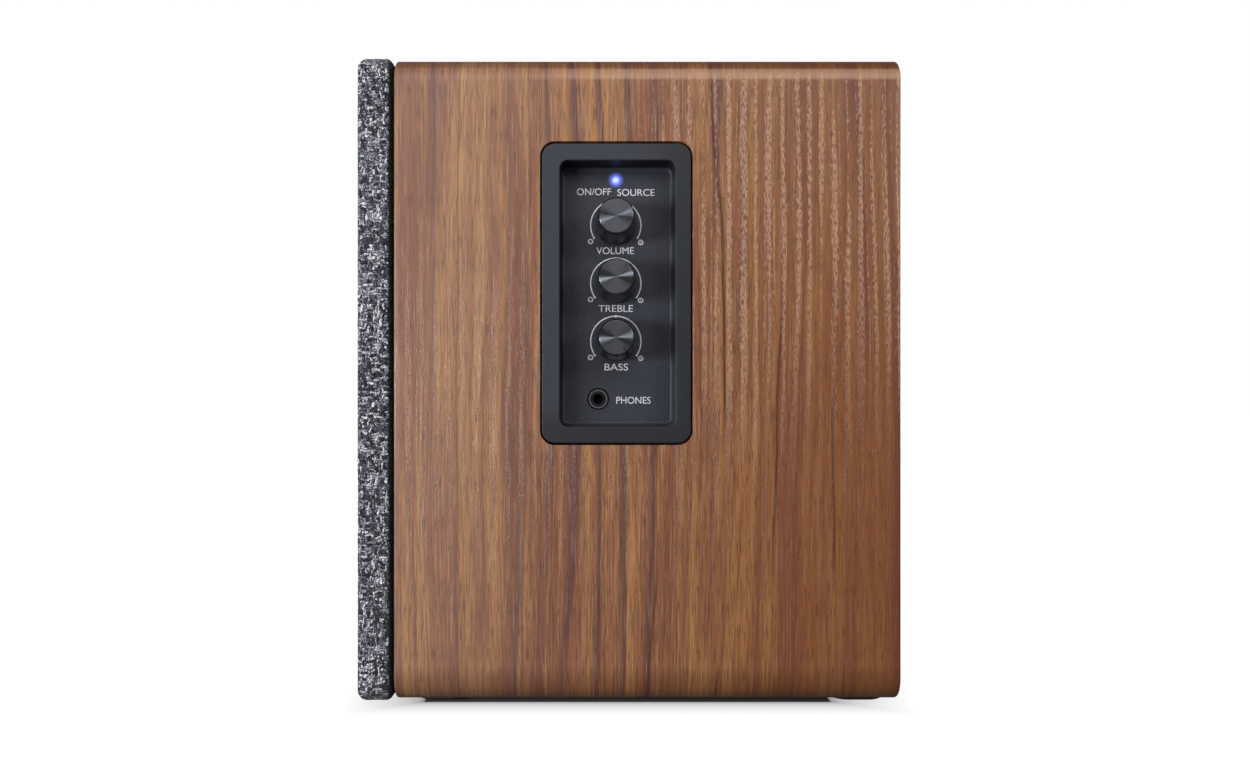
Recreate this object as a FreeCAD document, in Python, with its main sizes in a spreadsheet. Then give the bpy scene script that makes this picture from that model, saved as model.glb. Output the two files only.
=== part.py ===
import FreeCAD, Part
import math
import os
import re

import Sketcher

# Powered desktop speaker: one wooden cabinet with a cloth grille on its front, a recessed control
# tray in its right-hand side and an amplifier plate let into its back. Millimetres. +X is the
# speaker's right-hand side (the controls), -Y its front, +Z up, and the origin lies on the desk
# under the middle of the cabinet.

Vector = FreeCAD.Vector
Rotation = FreeCAD.Rotation

DIMENSIONS = {
    # the cabinet
    "overall_depth": 194.4,
    "cab_width": 146,
    "cab_height": 231.5,
    "wall_thick": 9,
    "edge_round": 9,
    "edge_ease": 0.8,
    "baffle_inset": 0.5,
    "baffle_thick": 12,
    "rear_inset": 12,
    "rear_thick": 9,
    "foot_height": 2.5,
    "foot_size": 20.5,
    "foot_corner": 6.5,
    "foot_ease": 0.5,
    "foot_side_margin": 12.2,
    "foot_front_setback": 15.8,
    "foot_rear_setback": 11.8,
    "screw_shank": 1.6,
    "screw_head": 3.1,
    "screw_head_tall": 1.7,
    "screw_grip": 7,
    "cross_wide": 0.7,
    "cross_long": 3.6,
    "cross_deep": 0.9,
    # the grille
    "grille_thick": 12.8,
    "grille_gap": 0.9,
    "grille_inset": 0.2,
    "grille_corner": 4.5,
    "grille_front_round": 3.3,
    "grille_back_round": 2,
    "cloth_thick": 1,
    "cloth_hem_thick": 0.8,
    "cloth_hem_wide": 8,
    "grille_bar": 12,
    "grille_gusset": 18,
    "peg_across": 56.5,
    "peg_up": 99.5,
    "peg_radius": 3.9,
    "peg_play": 0.05,
    "peg_reach": 9.4,
    "socket_radius": 5.2,
    "socket_lip": 6.3,
    "socket_lip_thick": 0.8,
    "socket_deep": 11.2,
    # the woofer
    "woofer_height": 76,
    "woofer_rim": 58,
    "woofer_rim_thick": 3.5,
    "woofer_throat": 47.3,
    "woofer_mouth": 46,
    "woofer_screw_ring": 54.4,
    "basket_shelf_out": 34.8,
    "basket_shelf_in": 31.1,
    "basket_shelf_deep": 20.5,
    "basket_deep": 28,
    "basket_gauge": 1.5,
    "basket_window_wide": 17,
    "roll_mid": 44.1,
    "roll_radius": 3.5,
    "roll_gauge": 0.7,
    "surround_out": 50.6,
    "surround_in": 39.2,
    "cone_rim": 40.6,
    "cone_edge": 39.3,
    "cone_gauge": 0.9,
    "cone_deep": 14.4,
    "former_in": 12.75,
    "former_out": 12.95,
    "coil_out": 13.4,
    "coil_top": 26,
    "coil_bottom": 31.5,
    "cap_radius": 15.5,
    "cap_rise": 4.3,
    "cap_seat": 12.4,
    "cap_gauge": 0.5,
    "spider_out": 32.6,
    "spider_gauge": 0.5,
    "spider_wave": 0.9,
    "gap_plate_in": 13.75,
    "gap_plate_out": 28.5,
    "gap_plate_thick": 4,
    "magnet_in": 17,
    "magnet_out": 31,
    "magnet_thick": 11,
    "pole_radius": 12.5,
    "yoke_radius": 28,
    "yoke_thick": 4,
    # the tweeter
    "tweeter_height": 178,
    "tweeter_rim": 38,
    "tweeter_rim_thick": 2.5,
    "tweeter_throat": 24,
    "tweeter_mouth": 13,
    "tweeter_screw_ring": 33,
    "horn_radius": 24,
    "horn_deep": 2.2,
    "tweeter_face_deep": 3.7,
    "dome_radius": 9.75,
    "dome_seat": 3.2,
    "dome_rise": 3.5,
    "dome_gauge": 0.3,
    "tweeter_roll_mid": 11.35,
    "tweeter_roll": 1.35,
    "tweeter_roll_gauge": 0.25,
    "tweeter_flange_out": 14.5,
    "tweeter_coil_in": 9.4,
    "tweeter_coil_deep": 7.6,
    "tweeter_plate_in": 10.1,
    "tweeter_plate_out": 22.5,
    "tweeter_plate_top": 4,
    "tweeter_plate_thick": 3,
    "tweeter_magnet_in": 13,
    "tweeter_magnet_thick": 8,
    "tweeter_pole": 9.1,
    "tweeter_pole_top": 4.6,
    "tweeter_deep": 18,
    # the control tray, in the right-hand wall
    "panel_middle": -4.15,
    "panel_height": 148.9,
    "panel_cut_wide": 54.4,
    "panel_cut_tall": 108.2,
    "panel_cut_corner": 5.3,
    "bezel_wide": 53.3,
    "bezel_tall": 107,
    "bezel_corner": 4.8,
    "bezel_sink": 0.3,
    "bezel_ease": 0.5,
    "recess_middle": -3.75,
    "recess_height": 148.85,
    "recess_wide": 41.3,
    "recess_tall": 95,
    "recess_corner": 3,
    "recess_draft": 4.6,
    "recess_ease": 0.45,
    "recess_root": 0.8,
    "tray_gauge": 2,
    "tray_floor": 2.5,
    "tray_flange": 5.8,
    "tray_flange_corner": 6,
    "tray_screw_inset": 3,
    "knob_middle": -4.27,
    "volume_height": 175.1,
    "knob_pitch": 21.2,
    "led_height": 191.2,
    "led_radius": 1.4,
    "led_dome": 0.7,
    "led_long": 7,
    "led_hole": 1.5,
    "jack_middle": -10.72,
    "jack_height": 111.2,
    "jack_ring": 3.5,
    "jack_hole": 4,
    "jack_proud": 0.2,
    "jack_mouth": 2.1,
    "jack_bore": 1.8,
    "jack_mouth_deep": 0.6,
    "jack_bore_long": 13.4,
    "jack_box_wide": 11,
    "jack_box_long": 12.5,
    "knob_lift": 1,
    "knob_tall": 16.3,
    "knob_base": 7.6,
    "knob_top": 6.4,
    "knob_cap": 6.05,
    "knob_cap_sink": 0.4,
    "knob_cap_thick": 0.3,
    "knob_skirt": 6.2,
    "knob_hub": 4.8,
    "knob_hub_low": 2.8,
    "knob_hollow": 9,
    "knob_bore_top": 12.5,
    "shaft_radius": 3,
    "shaft_play": 0.05,
    "shaft_low": 7.4,
    "mark_wide": 0.6,
    "mark_deep": 0.35,
    "mark_low": 10.5,
    "bush_radius": 3.5,
    "bush_hole": 3.65,
    "bush_rise": 2.15,
    "pot_wide": 11,
    "pot_tall": 12,
    "pot_thick": 6.8,
    "plunger_radius": 2.6,
    "plunger_thick": 0.9,
    "board_wide": 37,
    "board_tall": 77,
    "board_middle": 159.4,
    "board_thick": 1.6,
    "treble_turn": 42,
    "bass_turn": 145,
    # the back
    "port_height": 197,
    "port_bore": 18,
    "port_wall": 2,
    "port_long": 92,
    "port_flare": 6,
    "port_lip": 27,
    "port_lip_thick": 2,
    "plate_wide": 108,
    "plate_tall": 146,
    "plate_middle": 92.5,
    "plate_thick": 2,
    "plate_margin": 6,
    "plate_screw_across": 50.5,
    "plate_screw_up": 69.5,
    "rca_across": 24,
    "rca_height": 135,
    "rca_pitch": 15,
    "rca_radius": 4.15,
    "rca_collar": 5,
    "rca_hole": 1.65,
    "rca_deep": 8.5,
    "rca_long": 9,
    "rca_play": 0.25,
    "rca_box_wide": 28,
    "rca_box_tall": 29,
    "rca_box_deep": 12,
    "clip_across": -24,
    "clip_height": 135,
    "clip_wide": 46,
    "clip_tall": 30,
    "clip_thick": 6.5,
    "clip_pitch": 21,
    "clip_slot_wide": 12.4,
    "clip_slot_tall": 15.5,
    "clip_slot_deep": 5.7,
    "clip_slot_rise": 4,
    "clip_lever_wide": 11.8,
    "clip_lever_tall": 14.2,
    "clip_lever_thick": 2.4,
    "clip_lever_proud": 0.9,
    "clip_hole": 1.7,
    "clip_hole_drop": 9.5,
    "clip_box_deep": 10,
    "switch_across": 24,
    "switch_height": 45,
    "switch_wide": 15,
    "switch_tall": 21,
    "switch_flange": 1.6,
    "switch_body_wide": 13,
    "switch_body_tall": 19,
    "switch_body_deep": 14,
    "rocker_wide": 9,
    "rocker_half": 7.8,
    "rocker_play": 0.35,
    "rocker_tip": 2.2,
    "rocker_dip": 0.9,
    "rocker_side": 2,
    "rocker_root": 5,
    "rocker_tilt": 10,
    "rocker_well": 7.5,
    "inlet_across": -22,
    "inlet_height": 45,
    "inlet_wide": 34,
    "inlet_tall": 22,
    "inlet_flange": 2,
    "inlet_body_wide": 25,
    "inlet_body_tall": 16,
    "inlet_body_deep": 18,
    "inlet_mouth_wide": 17.6,
    "inlet_mouth_tall": 8.8,
    "inlet_mouth_deep": 14,
    "inlet_pin": 1.15,
    "inlet_pin_long": 9,
    "inlet_pin_pitch": 8.6,
    "main_board_wide": 90,
    "main_board_low": 72,
    "main_board_high": 157,
    "sink_wide": 60,
    "sink_tall": 22,
    "sink_deep": 26,
    "sink_fin": 1.6,
    "sink_pitch": 6.4,
    "sink_base": 3,
    "capacitor_radius": 8,
    "capacitor_long": 28,
    "transformer_wide": 57,
    "transformer_deep": 34,
    "transformer_tall": 48,
    "transformer_back": 60,
    "bobbin_wide": 38,
    "bobbin_deep": 48,
    "bobbin_tall": 32,
    "bracket_reach": 9,
    "bracket_thick": 1.2,
    "wadding_thick": 12,
    "wadding_front": -58,
    "wadding_back": 58,
    "wadding_low": 28,
    "wadding_high": 192,
    "wadding_clear": 0.3,
    "lead_radius": 1.6,
}

# Places worked out from the driving dimensions.
CAB_FRONT = "(grille_thick + grille_gap - overall_depth/2)"
CAB_BACK = "(overall_depth/2)"
CAB_MIDDLE = "(foot_height + cab_height/2)"
SIDE = "(cab_width/2)"
INNER_SIDE = "(cab_width/2 - wall_thick)"
INNER_WIDE = "(cab_width - 2*wall_thick)"
INNER_TALL = "(cab_height - 2*wall_thick)"
INNER_BOTTOM = "(foot_height + wall_thick)"
BAFFLE_FRONT = f"({CAB_FRONT} + baffle_inset)"
BAFFLE_BACK = f"({BAFFLE_FRONT} + baffle_thick)"
REAR_FACE = f"({CAB_BACK} - rear_inset)"
REAR_INSIDE = f"({REAR_FACE} - rear_thick)"
PLATE_FACE = f"({REAR_FACE} + plate_thick)"
GRILLE_FRONT = "(-overall_depth/2)"
GRILLE_BACK = f"({CAB_FRONT} - grille_gap)"
GRILLE_WIDE = "(cab_width - 2*grille_inset)"
GRILLE_TALL = "(cab_height - 2*grille_inset)"
FRAME_FRONT = f"({GRILLE_FRONT} + cloth_thick)"
FRAME_BACK = f"({GRILLE_BACK} - cloth_hem_thick)"
FRAME_WIDE = f"({GRILLE_WIDE} - 2*cloth_thick)"
FRAME_TALL = f"({GRILLE_TALL} - 2*cloth_thick)"
BEZEL_FACE = f"({SIDE} - bezel_sink)"
FLOOR = INNER_SIDE
TRAY_BACK = f"({FLOOR} - tray_floor)"
POT_BACK = f"({TRAY_BACK} - pot_thick)"
TREBLE_HEIGHT = "(volume_height - knob_pitch)"
BASS_HEIGHT = "(volume_height - 2*knob_pitch)"
MAIN_BOARD_BACK = f"({REAR_FACE} - rca_box_deep)"
MAIN_BOARD_FRONT = f"({MAIN_BOARD_BACK} - board_thick)"

PLANES = {"X": "YZ_Plane", "Y": "XZ_Plane", "Z": "XY_Plane"}
FACING_FRONT = Rotation(Vector(1, 0, 0), 90)
FACING_RIGHT = Rotation(Vector(0, 1, 0), 90)

doc = FreeCAD.newDocument("desktop_speaker")
sheet = doc.addObject("Spreadsheet::Sheet", "Dimensions")
for row, (alias, number) in enumerate(DIMENSIONS.items(), start=1):
    sheet.set(f"A{row}", alias)
    sheet.set(f"B{row}", str(number))
    sheet.setAlias(f"B{row}", alias)
doc.recompute()

sub_parts = []


# Expressions

def linked(expression):
    """The expression with each dimension's name pointing into the sheet."""
    def point(match):
        word = match.group(0)
        return f"Dimensions.{word}" if word in DIMENSIONS else word
    return re.sub(r"[a-z][a-z_]+", point, str(expression))


def value(expression):
    return float(sheet.evalExpression(linked(expression)))


def bind(item, name, expression):
    item.setExpression(name, linked(expression))


def polar(radius, degrees):
    return f"({radius})*cos({degrees})", f"({radius})*sin({degrees})"


# Sketches: every loop's points and radii are constraints bound to the sheet.

def hold(sketch, constraint, expression):
    index = sketch.addConstraint(constraint)
    bind(sketch, f"Constraints[{index}]", expression)


def hold_point(sketch, geometry, end, across, up):
    for kind, expression in (("DistanceX", across), ("DistanceY", up)):
        hold(sketch, Sketcher.Constraint(kind, -1, 1, geometry, end, value(expression)), expression)


def circle(across, up, radius):
    def draw(sketch):
        centre = Vector(value(across), value(up), 0)
        ring = sketch.addGeometry(Part.Circle(centre, Vector(0, 0, 1), value(radius)), False)
        hold_point(sketch, ring, 3, across, up)
        hold(sketch, Sketcher.Constraint("Radius", ring, value(radius)), radius)
    return draw


def arc_between(start, finish, radius, turn):
    """The shorter arc from start to finish, turning left (1) or right (-1)."""
    chord = finish - start
    middle = (start + finish)*0.5
    rise = math.sqrt(max(radius*radius - chord.Length**2/4, 0))
    normal = Vector(-chord.y, chord.x, 0).normalize()
    centre = middle + normal*(rise*turn)
    first, last = (start, finish) if turn > 0 else (finish, start)
    angles = [math.atan2(end.y - centre.y, end.x - centre.x) for end in (first, last)]
    return Part.ArcOfCircle(Part.Circle(centre, Vector(0, 0, 1), radius), *angles)


def outline(*corners):
    """A closed loop. A corner is (across, up), reached from the corner before it by a straight
    line, or (across, up, radius, turn), reached by an arc that turns left (1) or right (-1)."""
    def draw(sketch):
        spots = [Vector(value(corner[0]), value(corner[1]), 0) for corner in corners]
        starts, ends = [], []
        for place, corner in enumerate(corners):
            start, finish = spots[place - 1], spots[place]
            if len(corner) == 2:
                piece = sketch.addGeometry(Part.LineSegment(start, finish), False)
                turn = 1
            else:
                turn = corner[3]
                arc = arc_between(start, finish, value(corner[2]), turn)
                piece = sketch.addGeometry(arc, False)
            starts.append((piece, 1 if turn > 0 else 2))
            ends.append((piece, 2 if turn > 0 else 1))
        for place, corner in enumerate(corners):
            following = (place + 1) % len(corners)
            sketch.addConstraint(Sketcher.Constraint("Coincident", *ends[place], *starts[following]))
            hold_point(sketch, *ends[place], corner[0], corner[1])
            if len(corner) == 4:
                hold(sketch, Sketcher.Constraint("Radius", ends[place][0], value(corner[2])), corner[2])
    return draw


def box(across, up, wide, tall):
    left, right = f"({across}) - ({wide})/2", f"({across}) + ({wide})/2"
    low, high = f"({up}) - ({tall})/2", f"({up}) + ({tall})/2"
    return outline((left, low), (right, low), (right, high), (left, high))


def rounded_box(across, up, wide, tall, radius):
    left, right = f"({across}) - ({wide})/2", f"({across}) + ({wide})/2"
    low, high = f"({up}) - ({tall})/2", f"({up}) + ({tall})/2"
    return outline((f"{left} + {radius}", low, radius, 1),
                   (f"{right} - {radius}", low),
                   (right, f"{low} + {radius}", radius, 1),
                   (right, f"{high} - {radius}"),
                   (f"{right} - {radius}", high, radius, 1),
                   (f"{left} + {radius}", high),
                   (left, f"{high} - {radius}", radius, 1),
                   (left, f"{low} + {radius}"))


def new_sketch(body, axis, loops, level="0"):
    """A sketch square to an axis. Its across and up are Y,Z on X, X,Z on Y, and X,Y on Z."""
    plane = next(item for item in body.Origin.OriginFeatures if item.Role == PLANES[axis])
    sketch = body.newObject("Sketcher::SketchObject", f"{body.Name}_sketch")
    sketch.AttachmentSupport = [(plane, "")]
    sketch.MapMode = "FlatFace"
    bind(sketch, "AttachmentOffset.Base.z", f"-({level})" if axis == "Y" else level)
    for draw in loops:
        draw(sketch)
    return sketch


# Features

def new_body(name):
    body = doc.addObject("PartDesign::Body", name)
    body.Label = name
    body.AllowCompound = True
    sub_parts.append(body)
    return body


def place(body, across, along, up, rotation):
    body.Placement = FreeCAD.Placement(Vector(), rotation)
    for name, expression in (("x", across), ("y", along), ("z", up)):
        bind(body, f"Placement.Base.{name}", expression)


def slab(body, axis, loops, low, high):
    """Adds material between two levels on an axis."""
    feature = body.newObject("PartDesign::Pad", f"{body.Name}_pad")
    feature.Profile = new_sketch(body, axis, loops, high if axis == "Y" else low)
    bind(feature, "Length", f"({high}) - ({low})")
    body.Tip = feature
    doc.recompute()
    return feature


def cut(body, axis, loops, low, high, draft=None):
    """Takes material away between two levels on an axis."""
    before = body.Shape.Volume
    feature = body.newObject("PartDesign::Pocket", f"{body.Name}_pocket")
    feature.Profile = new_sketch(body, axis, loops, low if axis == "Y" else high)
    bind(feature, "Length", f"({high}) - ({low})")
    if draft:
        bind(feature, "TaperAngle", f"-{draft}")
    body.Tip = feature
    doc.recompute()
    if body.Shape.Volume > before - 0.01:
        raise RuntimeError(f"{feature.Name} cuts nothing")
    return feature


def turn(body, *corners):
    """A piece turned about its own Z axis, from an outline drawn as (radius, height)."""
    feature = body.newObject("PartDesign::Revolution", f"{body.Name}_turned")
    sketch = new_sketch(body, "Y", [outline(*corners)])
    feature.Profile = sketch
    feature.ReferenceAxis = (sketch, ["V_Axis"])
    feature.Angle = 360
    body.Tip = feature
    doc.recompute()
    return feature


def ring(body, inner, outer, low, high):
    return turn(body, (inner, low), (outer, low), (outer, high), (inner, high))


def repeat_round(body, feature, count):
    pattern = body.newObject("PartDesign::PolarPattern", f"{body.Name}_pattern")
    axis = next(item for item in body.Origin.OriginFeatures if item.Role == "Z_Axis")
    pattern.Originals = [feature]
    pattern.Axis = (axis, [""])
    pattern.Angle = 360
    pattern.Occurrences = count
    body.Tip = pattern
    doc.recompute()


def round_edges(body, radius, wanted):
    base = body.Tip
    names = [f"Edge{number}" for number, edge in enumerate(base.Shape.Edges, start=1) if wanted(edge)]
    feature = body.newObject("PartDesign::Fillet", f"{body.Name}_fillet")
    feature.Base = (base, names)
    bind(feature, "Radius", radius)
    body.Tip = feature
    doc.recompute()


def flat_at(edge, axis, level):
    """Whether an edge lies in the plane at a level on an axis."""
    bounds = edge.BoundBox
    low = getattr(bounds, f"{axis}Min")
    high = getattr(bounds, f"{axis}Max")
    return abs(low - value(level)) < 0.01 and abs(high - value(level)) < 0.01


def grid(across, up):
    """Four points, mirrored about both axes."""
    return [(f"{side}*({across})", f"{level}*({up})") for side in (-1, 1) for level in (-1, 1)]


# Cabinet

def peg_spots():
    return [(across, f"{CAB_MIDDLE} + {up}") for across, up in grid("peg_across", "peg_up")]


def woofer_screw_spots():
    spots = [polar("woofer_screw_ring", 45 + 90*quarter) for quarter in range(4)]
    return [(across, f"woofer_height + {up}") for across, up in spots]


def tweeter_screw_spots():
    spots = [polar("tweeter_screw_ring", 45 + 90*quarter) for quarter in range(4)]
    return [(across, f"tweeter_height + {up}") for across, up in spots]


def tray_screw_spots():
    across = "bezel_wide/2 + tray_flange - tray_screw_inset"
    up = "bezel_tall/2 + tray_flange - tray_screw_inset"
    return [(f"panel_middle + {a}", f"panel_height + {b}") for a, b in grid(across, up)]


def plate_screw_spots():
    return [(f"{side}*plate_screw_across", f"plate_middle + {level}*plate_screw_up")
            for side in (-1, 1) for level in (-1, 0, 1)]


def cabinet_sleeve():
    body = new_body("cabinet_sleeve")
    outer = rounded_box("0", CAB_MIDDLE, "cab_width", "cab_height", "edge_round")
    inner = box("0", CAB_MIDDLE, INNER_WIDE, INNER_TALL)
    slab(body, "Y", [outer, inner], CAB_FRONT, CAB_BACK)
    opening = rounded_box("panel_middle", "panel_height", "panel_cut_wide", "panel_cut_tall",
                          "panel_cut_corner")
    cut(body, "X", [opening], INNER_SIDE, SIDE)
    pilots = [circle(across, up, "screw_shank") for across, up in tray_screw_spots()]
    cut(body, "X", pilots, INNER_SIDE, f"{TRAY_BACK} + screw_grip")

    def on_outer_rim(edge):
        middle = edge.BoundBox.Center
        beyond_side = abs(middle.x) > value(INNER_SIDE) + 1
        beyond_end = abs(middle.z - value(CAB_MIDDLE)) > value(INNER_TALL)/2 + 1
        return (flat_at(edge, "Y", CAB_FRONT) or flat_at(edge, "Y", CAB_BACK)) and (
            beyond_side or beyond_end)
    round_edges(body, "edge_ease", on_outer_rim)


def front_baffle():
    body = new_body("front_baffle")
    holes = [circle("0", "woofer_height", "woofer_throat + 0.3"),
             circle("0", "tweeter_height", "tweeter_throat")]
    holes += [circle(across, up, "socket_radius") for across, up in peg_spots()]
    slab(body, "Y", [box("0", CAB_MIDDLE, INNER_WIDE, INNER_TALL)] + holes, BAFFLE_FRONT, BAFFLE_BACK)
    cut(body, "Y", [circle("0", "woofer_height", "woofer_rim + 0.3")],
        BAFFLE_FRONT, f"{BAFFLE_FRONT} + woofer_rim_thick")
    cut(body, "Y", [circle("0", "tweeter_height", "tweeter_rim + 0.3")],
        BAFFLE_FRONT, f"{BAFFLE_FRONT} + tweeter_rim_thick")
    pilots = [circle(across, up, "screw_shank")
              for across, up in woofer_screw_spots() + tweeter_screw_spots()]
    cut(body, "Y", pilots, BAFFLE_FRONT, f"{BAFFLE_FRONT} + screw_grip")


def rear_board():
    body = new_body("rear_board")
    port = circle("0", "port_height", "port_bore + port_wall")
    opening = box("0", "plate_middle", "plate_wide - 2*plate_margin", "plate_tall - 2*plate_margin")
    slab(body, "Y", [box("0", CAB_MIDDLE, INNER_WIDE, INNER_TALL), port, opening],
         REAR_INSIDE, REAR_FACE)
    pilots = [circle(across, up, "screw_shank") for across, up in plate_screw_spots()]
    cut(body, "Y", pilots, f"{PLATE_FACE} - screw_grip", REAR_FACE)


def rubber_feet():
    body = new_body("rubber_feet")
    across = f"{SIDE} - foot_side_margin - foot_size/2"
    rows = (f"{CAB_FRONT} + foot_front_setback", f"{CAB_BACK} - foot_rear_setback")
    pads = [rounded_box(f"{side}*({across})", along, "foot_size", "foot_size", "foot_corner")
            for side in (-1, 1) for along in rows]
    slab(body, "Z", pads, "0", "foot_height")
    round_edges(body, "foot_ease", lambda edge: flat_at(edge, "Z", "0"))


def damping_wadding():
    body = new_body("damping_wadding")
    inner = f"-{INNER_SIDE} + wadding_clear"
    along = "(wadding_front + wadding_back)/2"
    up = "(wadding_low + wadding_high)/2"
    pad = box(along, up, "wadding_back - wadding_front", "wadding_high - wadding_low")
    slab(body, "X", [pad], inner, f"{inner} + wadding_thick")


def port_tube():
    body = new_body("port_tube")
    outside = "port_bore + port_wall"
    turn(body,
         ("port_bore", f"-port_long"), (outside, f"-port_long"), (outside, "0"),
         ("port_lip", "0"), ("port_lip", "port_lip_thick"),
         ("port_bore + port_flare", "port_lip_thick"),
         ("port_bore", "port_lip_thick - port_flare", "port_flare", 1))
    place(body, "0", REAR_FACE, "port_height", Rotation(Vector(1, 0, 0), -90))


# Grille

def grille_frame():
    body = new_body("grille_frame")
    half_wide = f"({FRAME_WIDE}/2 - grille_bar)"
    half_tall = f"({FRAME_TALL}/2 - grille_bar)"
    low, high = f"{CAB_MIDDLE} - {half_tall}", f"{CAB_MIDDLE} + {half_tall}"
    window = outline((f"-{half_wide}", f"{low} + grille_gusset"), (f"-{half_wide} + grille_gusset", low),
                     (f"{half_wide} - grille_gusset", low), (half_wide, f"{low} + grille_gusset"),
                     (half_wide, f"{high} - grille_gusset"), (f"{half_wide} - grille_gusset", high),
                     (f"-{half_wide} + grille_gusset", high), (f"-{half_wide}", f"{high} - grille_gusset"))
    edge = rounded_box("0", CAB_MIDDLE, FRAME_WIDE, FRAME_TALL, "(grille_corner - cloth_thick)")
    slab(body, "Y", [edge, window], FRAME_FRONT, FRAME_BACK)

    def on_front_rim(item):
        middle = item.BoundBox.Center
        return flat_at(item, "Y", FRAME_FRONT) and (
            abs(middle.x) > value(half_wide) + 1
            or abs(middle.z - value(CAB_MIDDLE)) > value(half_tall) + 1)
    round_edges(body, "grille_front_round - cloth_thick", on_front_rim)


def grille_cloth():
    body = new_body("grille_cloth")
    slab(body, "Y", [rounded_box("0", CAB_MIDDLE, GRILLE_WIDE, GRILLE_TALL, "grille_corner")],
         GRILLE_FRONT, GRILLE_BACK)
    round_edges(body, "grille_front_round", lambda edge: flat_at(edge, "Y", GRILLE_FRONT))
    round_edges(body, "grille_back_round", lambda edge: flat_at(edge, "Y", GRILLE_BACK))
    inside = rounded_box("0", CAB_MIDDLE, FRAME_WIDE, FRAME_TALL, "(grille_corner - cloth_thick)")
    cut(body, "Y", [inside], FRAME_FRONT, FRAME_BACK)
    round_edges(body, "grille_front_round - cloth_thick", lambda edge: flat_at(edge, "Y", FRAME_FRONT))
    behind = box("0", CAB_MIDDLE, f"{FRAME_WIDE} - 2*cloth_hem_wide", f"{FRAME_TALL} - 2*cloth_hem_wide")
    cut(body, "Y", [behind], FRAME_BACK, GRILLE_BACK)


def grille_pegs():
    body = new_body("grille_pegs")
    pegs = [circle(across, up, "peg_radius") for across, up in peg_spots()]
    slab(body, "Y", pegs, FRAME_BACK, f"{BAFFLE_FRONT} + peg_reach")


def grille_sockets():
    body = new_body("grille_sockets")
    lips = [circle(across, up, "socket_lip") for across, up in peg_spots()]
    cups = [circle(across, up, "socket_radius") for across, up in peg_spots()]
    bores = [circle(across, up, "peg_radius + peg_play") for across, up in peg_spots()]
    slab(body, "Y", lips, f"{BAFFLE_FRONT} - socket_lip_thick", BAFFLE_FRONT)
    slab(body, "Y", cups, BAFFLE_FRONT, f"{BAFFLE_FRONT} + socket_deep")
    cut(body, "Y", bores, f"{BAFFLE_FRONT} - socket_lip_thick", f"{BAFFLE_FRONT} + peg_reach + 0.6")


# Woofer. Its own Z axis points out of the cabinet's front, from the baffle's face.

def woofer_piece(name):
    body = new_body(name)
    place(body, "0", BAFFLE_FRONT, "woofer_height", FACING_FRONT)
    return body


def woofer_basket():
    body = woofer_piece("woofer_basket")
    inner_shelf = "basket_shelf_out - basket_gauge"
    inner_wall = "basket_shelf_in - basket_gauge"
    shelf = "basket_gauge - basket_shelf_deep"
    floor = "basket_gauge - basket_deep"
    turn(body,
         ("woofer_mouth", "0"), ("woofer_mouth", "0.5 - woofer_rim_thick"), (inner_shelf, shelf),
         (inner_wall, shelf), (inner_wall, floor), ("gap_plate_in + 0.8", floor),
         ("gap_plate_in + 0.8", "-basket_deep"), ("basket_shelf_in", "-basket_deep"),
         ("basket_shelf_in", "-basket_shelf_deep"), ("basket_shelf_out", "-basket_shelf_deep"),
         ("woofer_throat", "-woofer_rim_thick"), ("woofer_rim", "-woofer_rim_thick"),
         ("woofer_rim", "0"))
    window = rounded_box("0", "-basket_shelf_deep/2 - 2.2", "basket_window_wide",
                         "basket_shelf_deep/2 + 1", "2.5")
    opening = cut(body, "X", [window], "30", "woofer_rim")
    repeat_round(body, opening, 6)
    holes = [circle(*polar("woofer_screw_ring", 45 + 90*quarter), "screw_shank")
             for quarter in range(4)]
    cut(body, "Z", holes, "-woofer_rim_thick", "0")


def woofer_surround():
    body = woofer_piece("woofer_surround")
    inside = "(roll_radius - roll_gauge)"
    reach = "sqrt(roll_radius^2 - roll_gauge^2)"
    turn(body,
         ("surround_in", "0"), (f"roll_mid - {inside}", "0"), (f"roll_mid + {inside}", "0", inside, -1),
         ("surround_out", "0"), ("surround_out", "roll_gauge"), (f"roll_mid + {reach}", "roll_gauge"),
         (f"roll_mid - {reach}", "roll_gauge", "roll_radius", 1), ("surround_in", "roll_gauge"))


def woofer_cone():
    body = woofer_piece("woofer_cone")
    turn(body,
         ("former_out", "-cone_deep"), ("former_out", "-cone_deep - 1.1*cone_gauge"),
         ("cone_edge", "-cone_gauge"), ("cone_rim", "-cone_gauge"), ("cone_rim", "0"),
         ("cone_edge", "0"))


def dome(body, radius, seat, rise, gauge):
    bend = f"(({radius})^2 + ({rise})^2)/(2*({rise}))"
    turn(body,
         (radius, f"-{seat}"), ("0", f"{rise} - {seat}", bend, 1),
         ("0", f"{rise} - {seat} - {gauge}"), (radius, f"-{seat} - {gauge}", bend, -1))


def woofer_dust_cap():
    dome(woofer_piece("woofer_dust_cap"), "cap_radius", "cap_seat", "cap_rise", "cap_gauge")


def woofer_voice_coil():
    body = woofer_piece("woofer_voice_coil")
    turn(body,
         ("former_in", "-cone_deep + 1"), ("former_in", "-coil_bottom"), ("coil_out", "-coil_bottom"),
         ("coil_out", "-coil_top"), ("former_out", "-coil_top"), ("former_out", "-cone_deep + 1"))


def woofer_spider():
    body = woofer_piece("woofer_spider")
    waves = 8
    shelf = "(basket_gauge - basket_shelf_deep)"
    crest = []
    for step in range(waves + 1):
        across = f"former_out + (spider_out - 3 - former_out)*{step}/{waves}"
        crest.append((across, f"{shelf} + spider_wave*{step % 2}"))
    crest.append(("spider_out", shelf))
    trough = [(across, f"{up} + spider_gauge") for across, up in reversed(crest)]
    turn(body, *crest, *trough)


def woofer_top_plate():
    ring(woofer_piece("woofer_top_plate"), "gap_plate_in", "gap_plate_out",
         "-basket_deep - gap_plate_thick", "-basket_deep")


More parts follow.
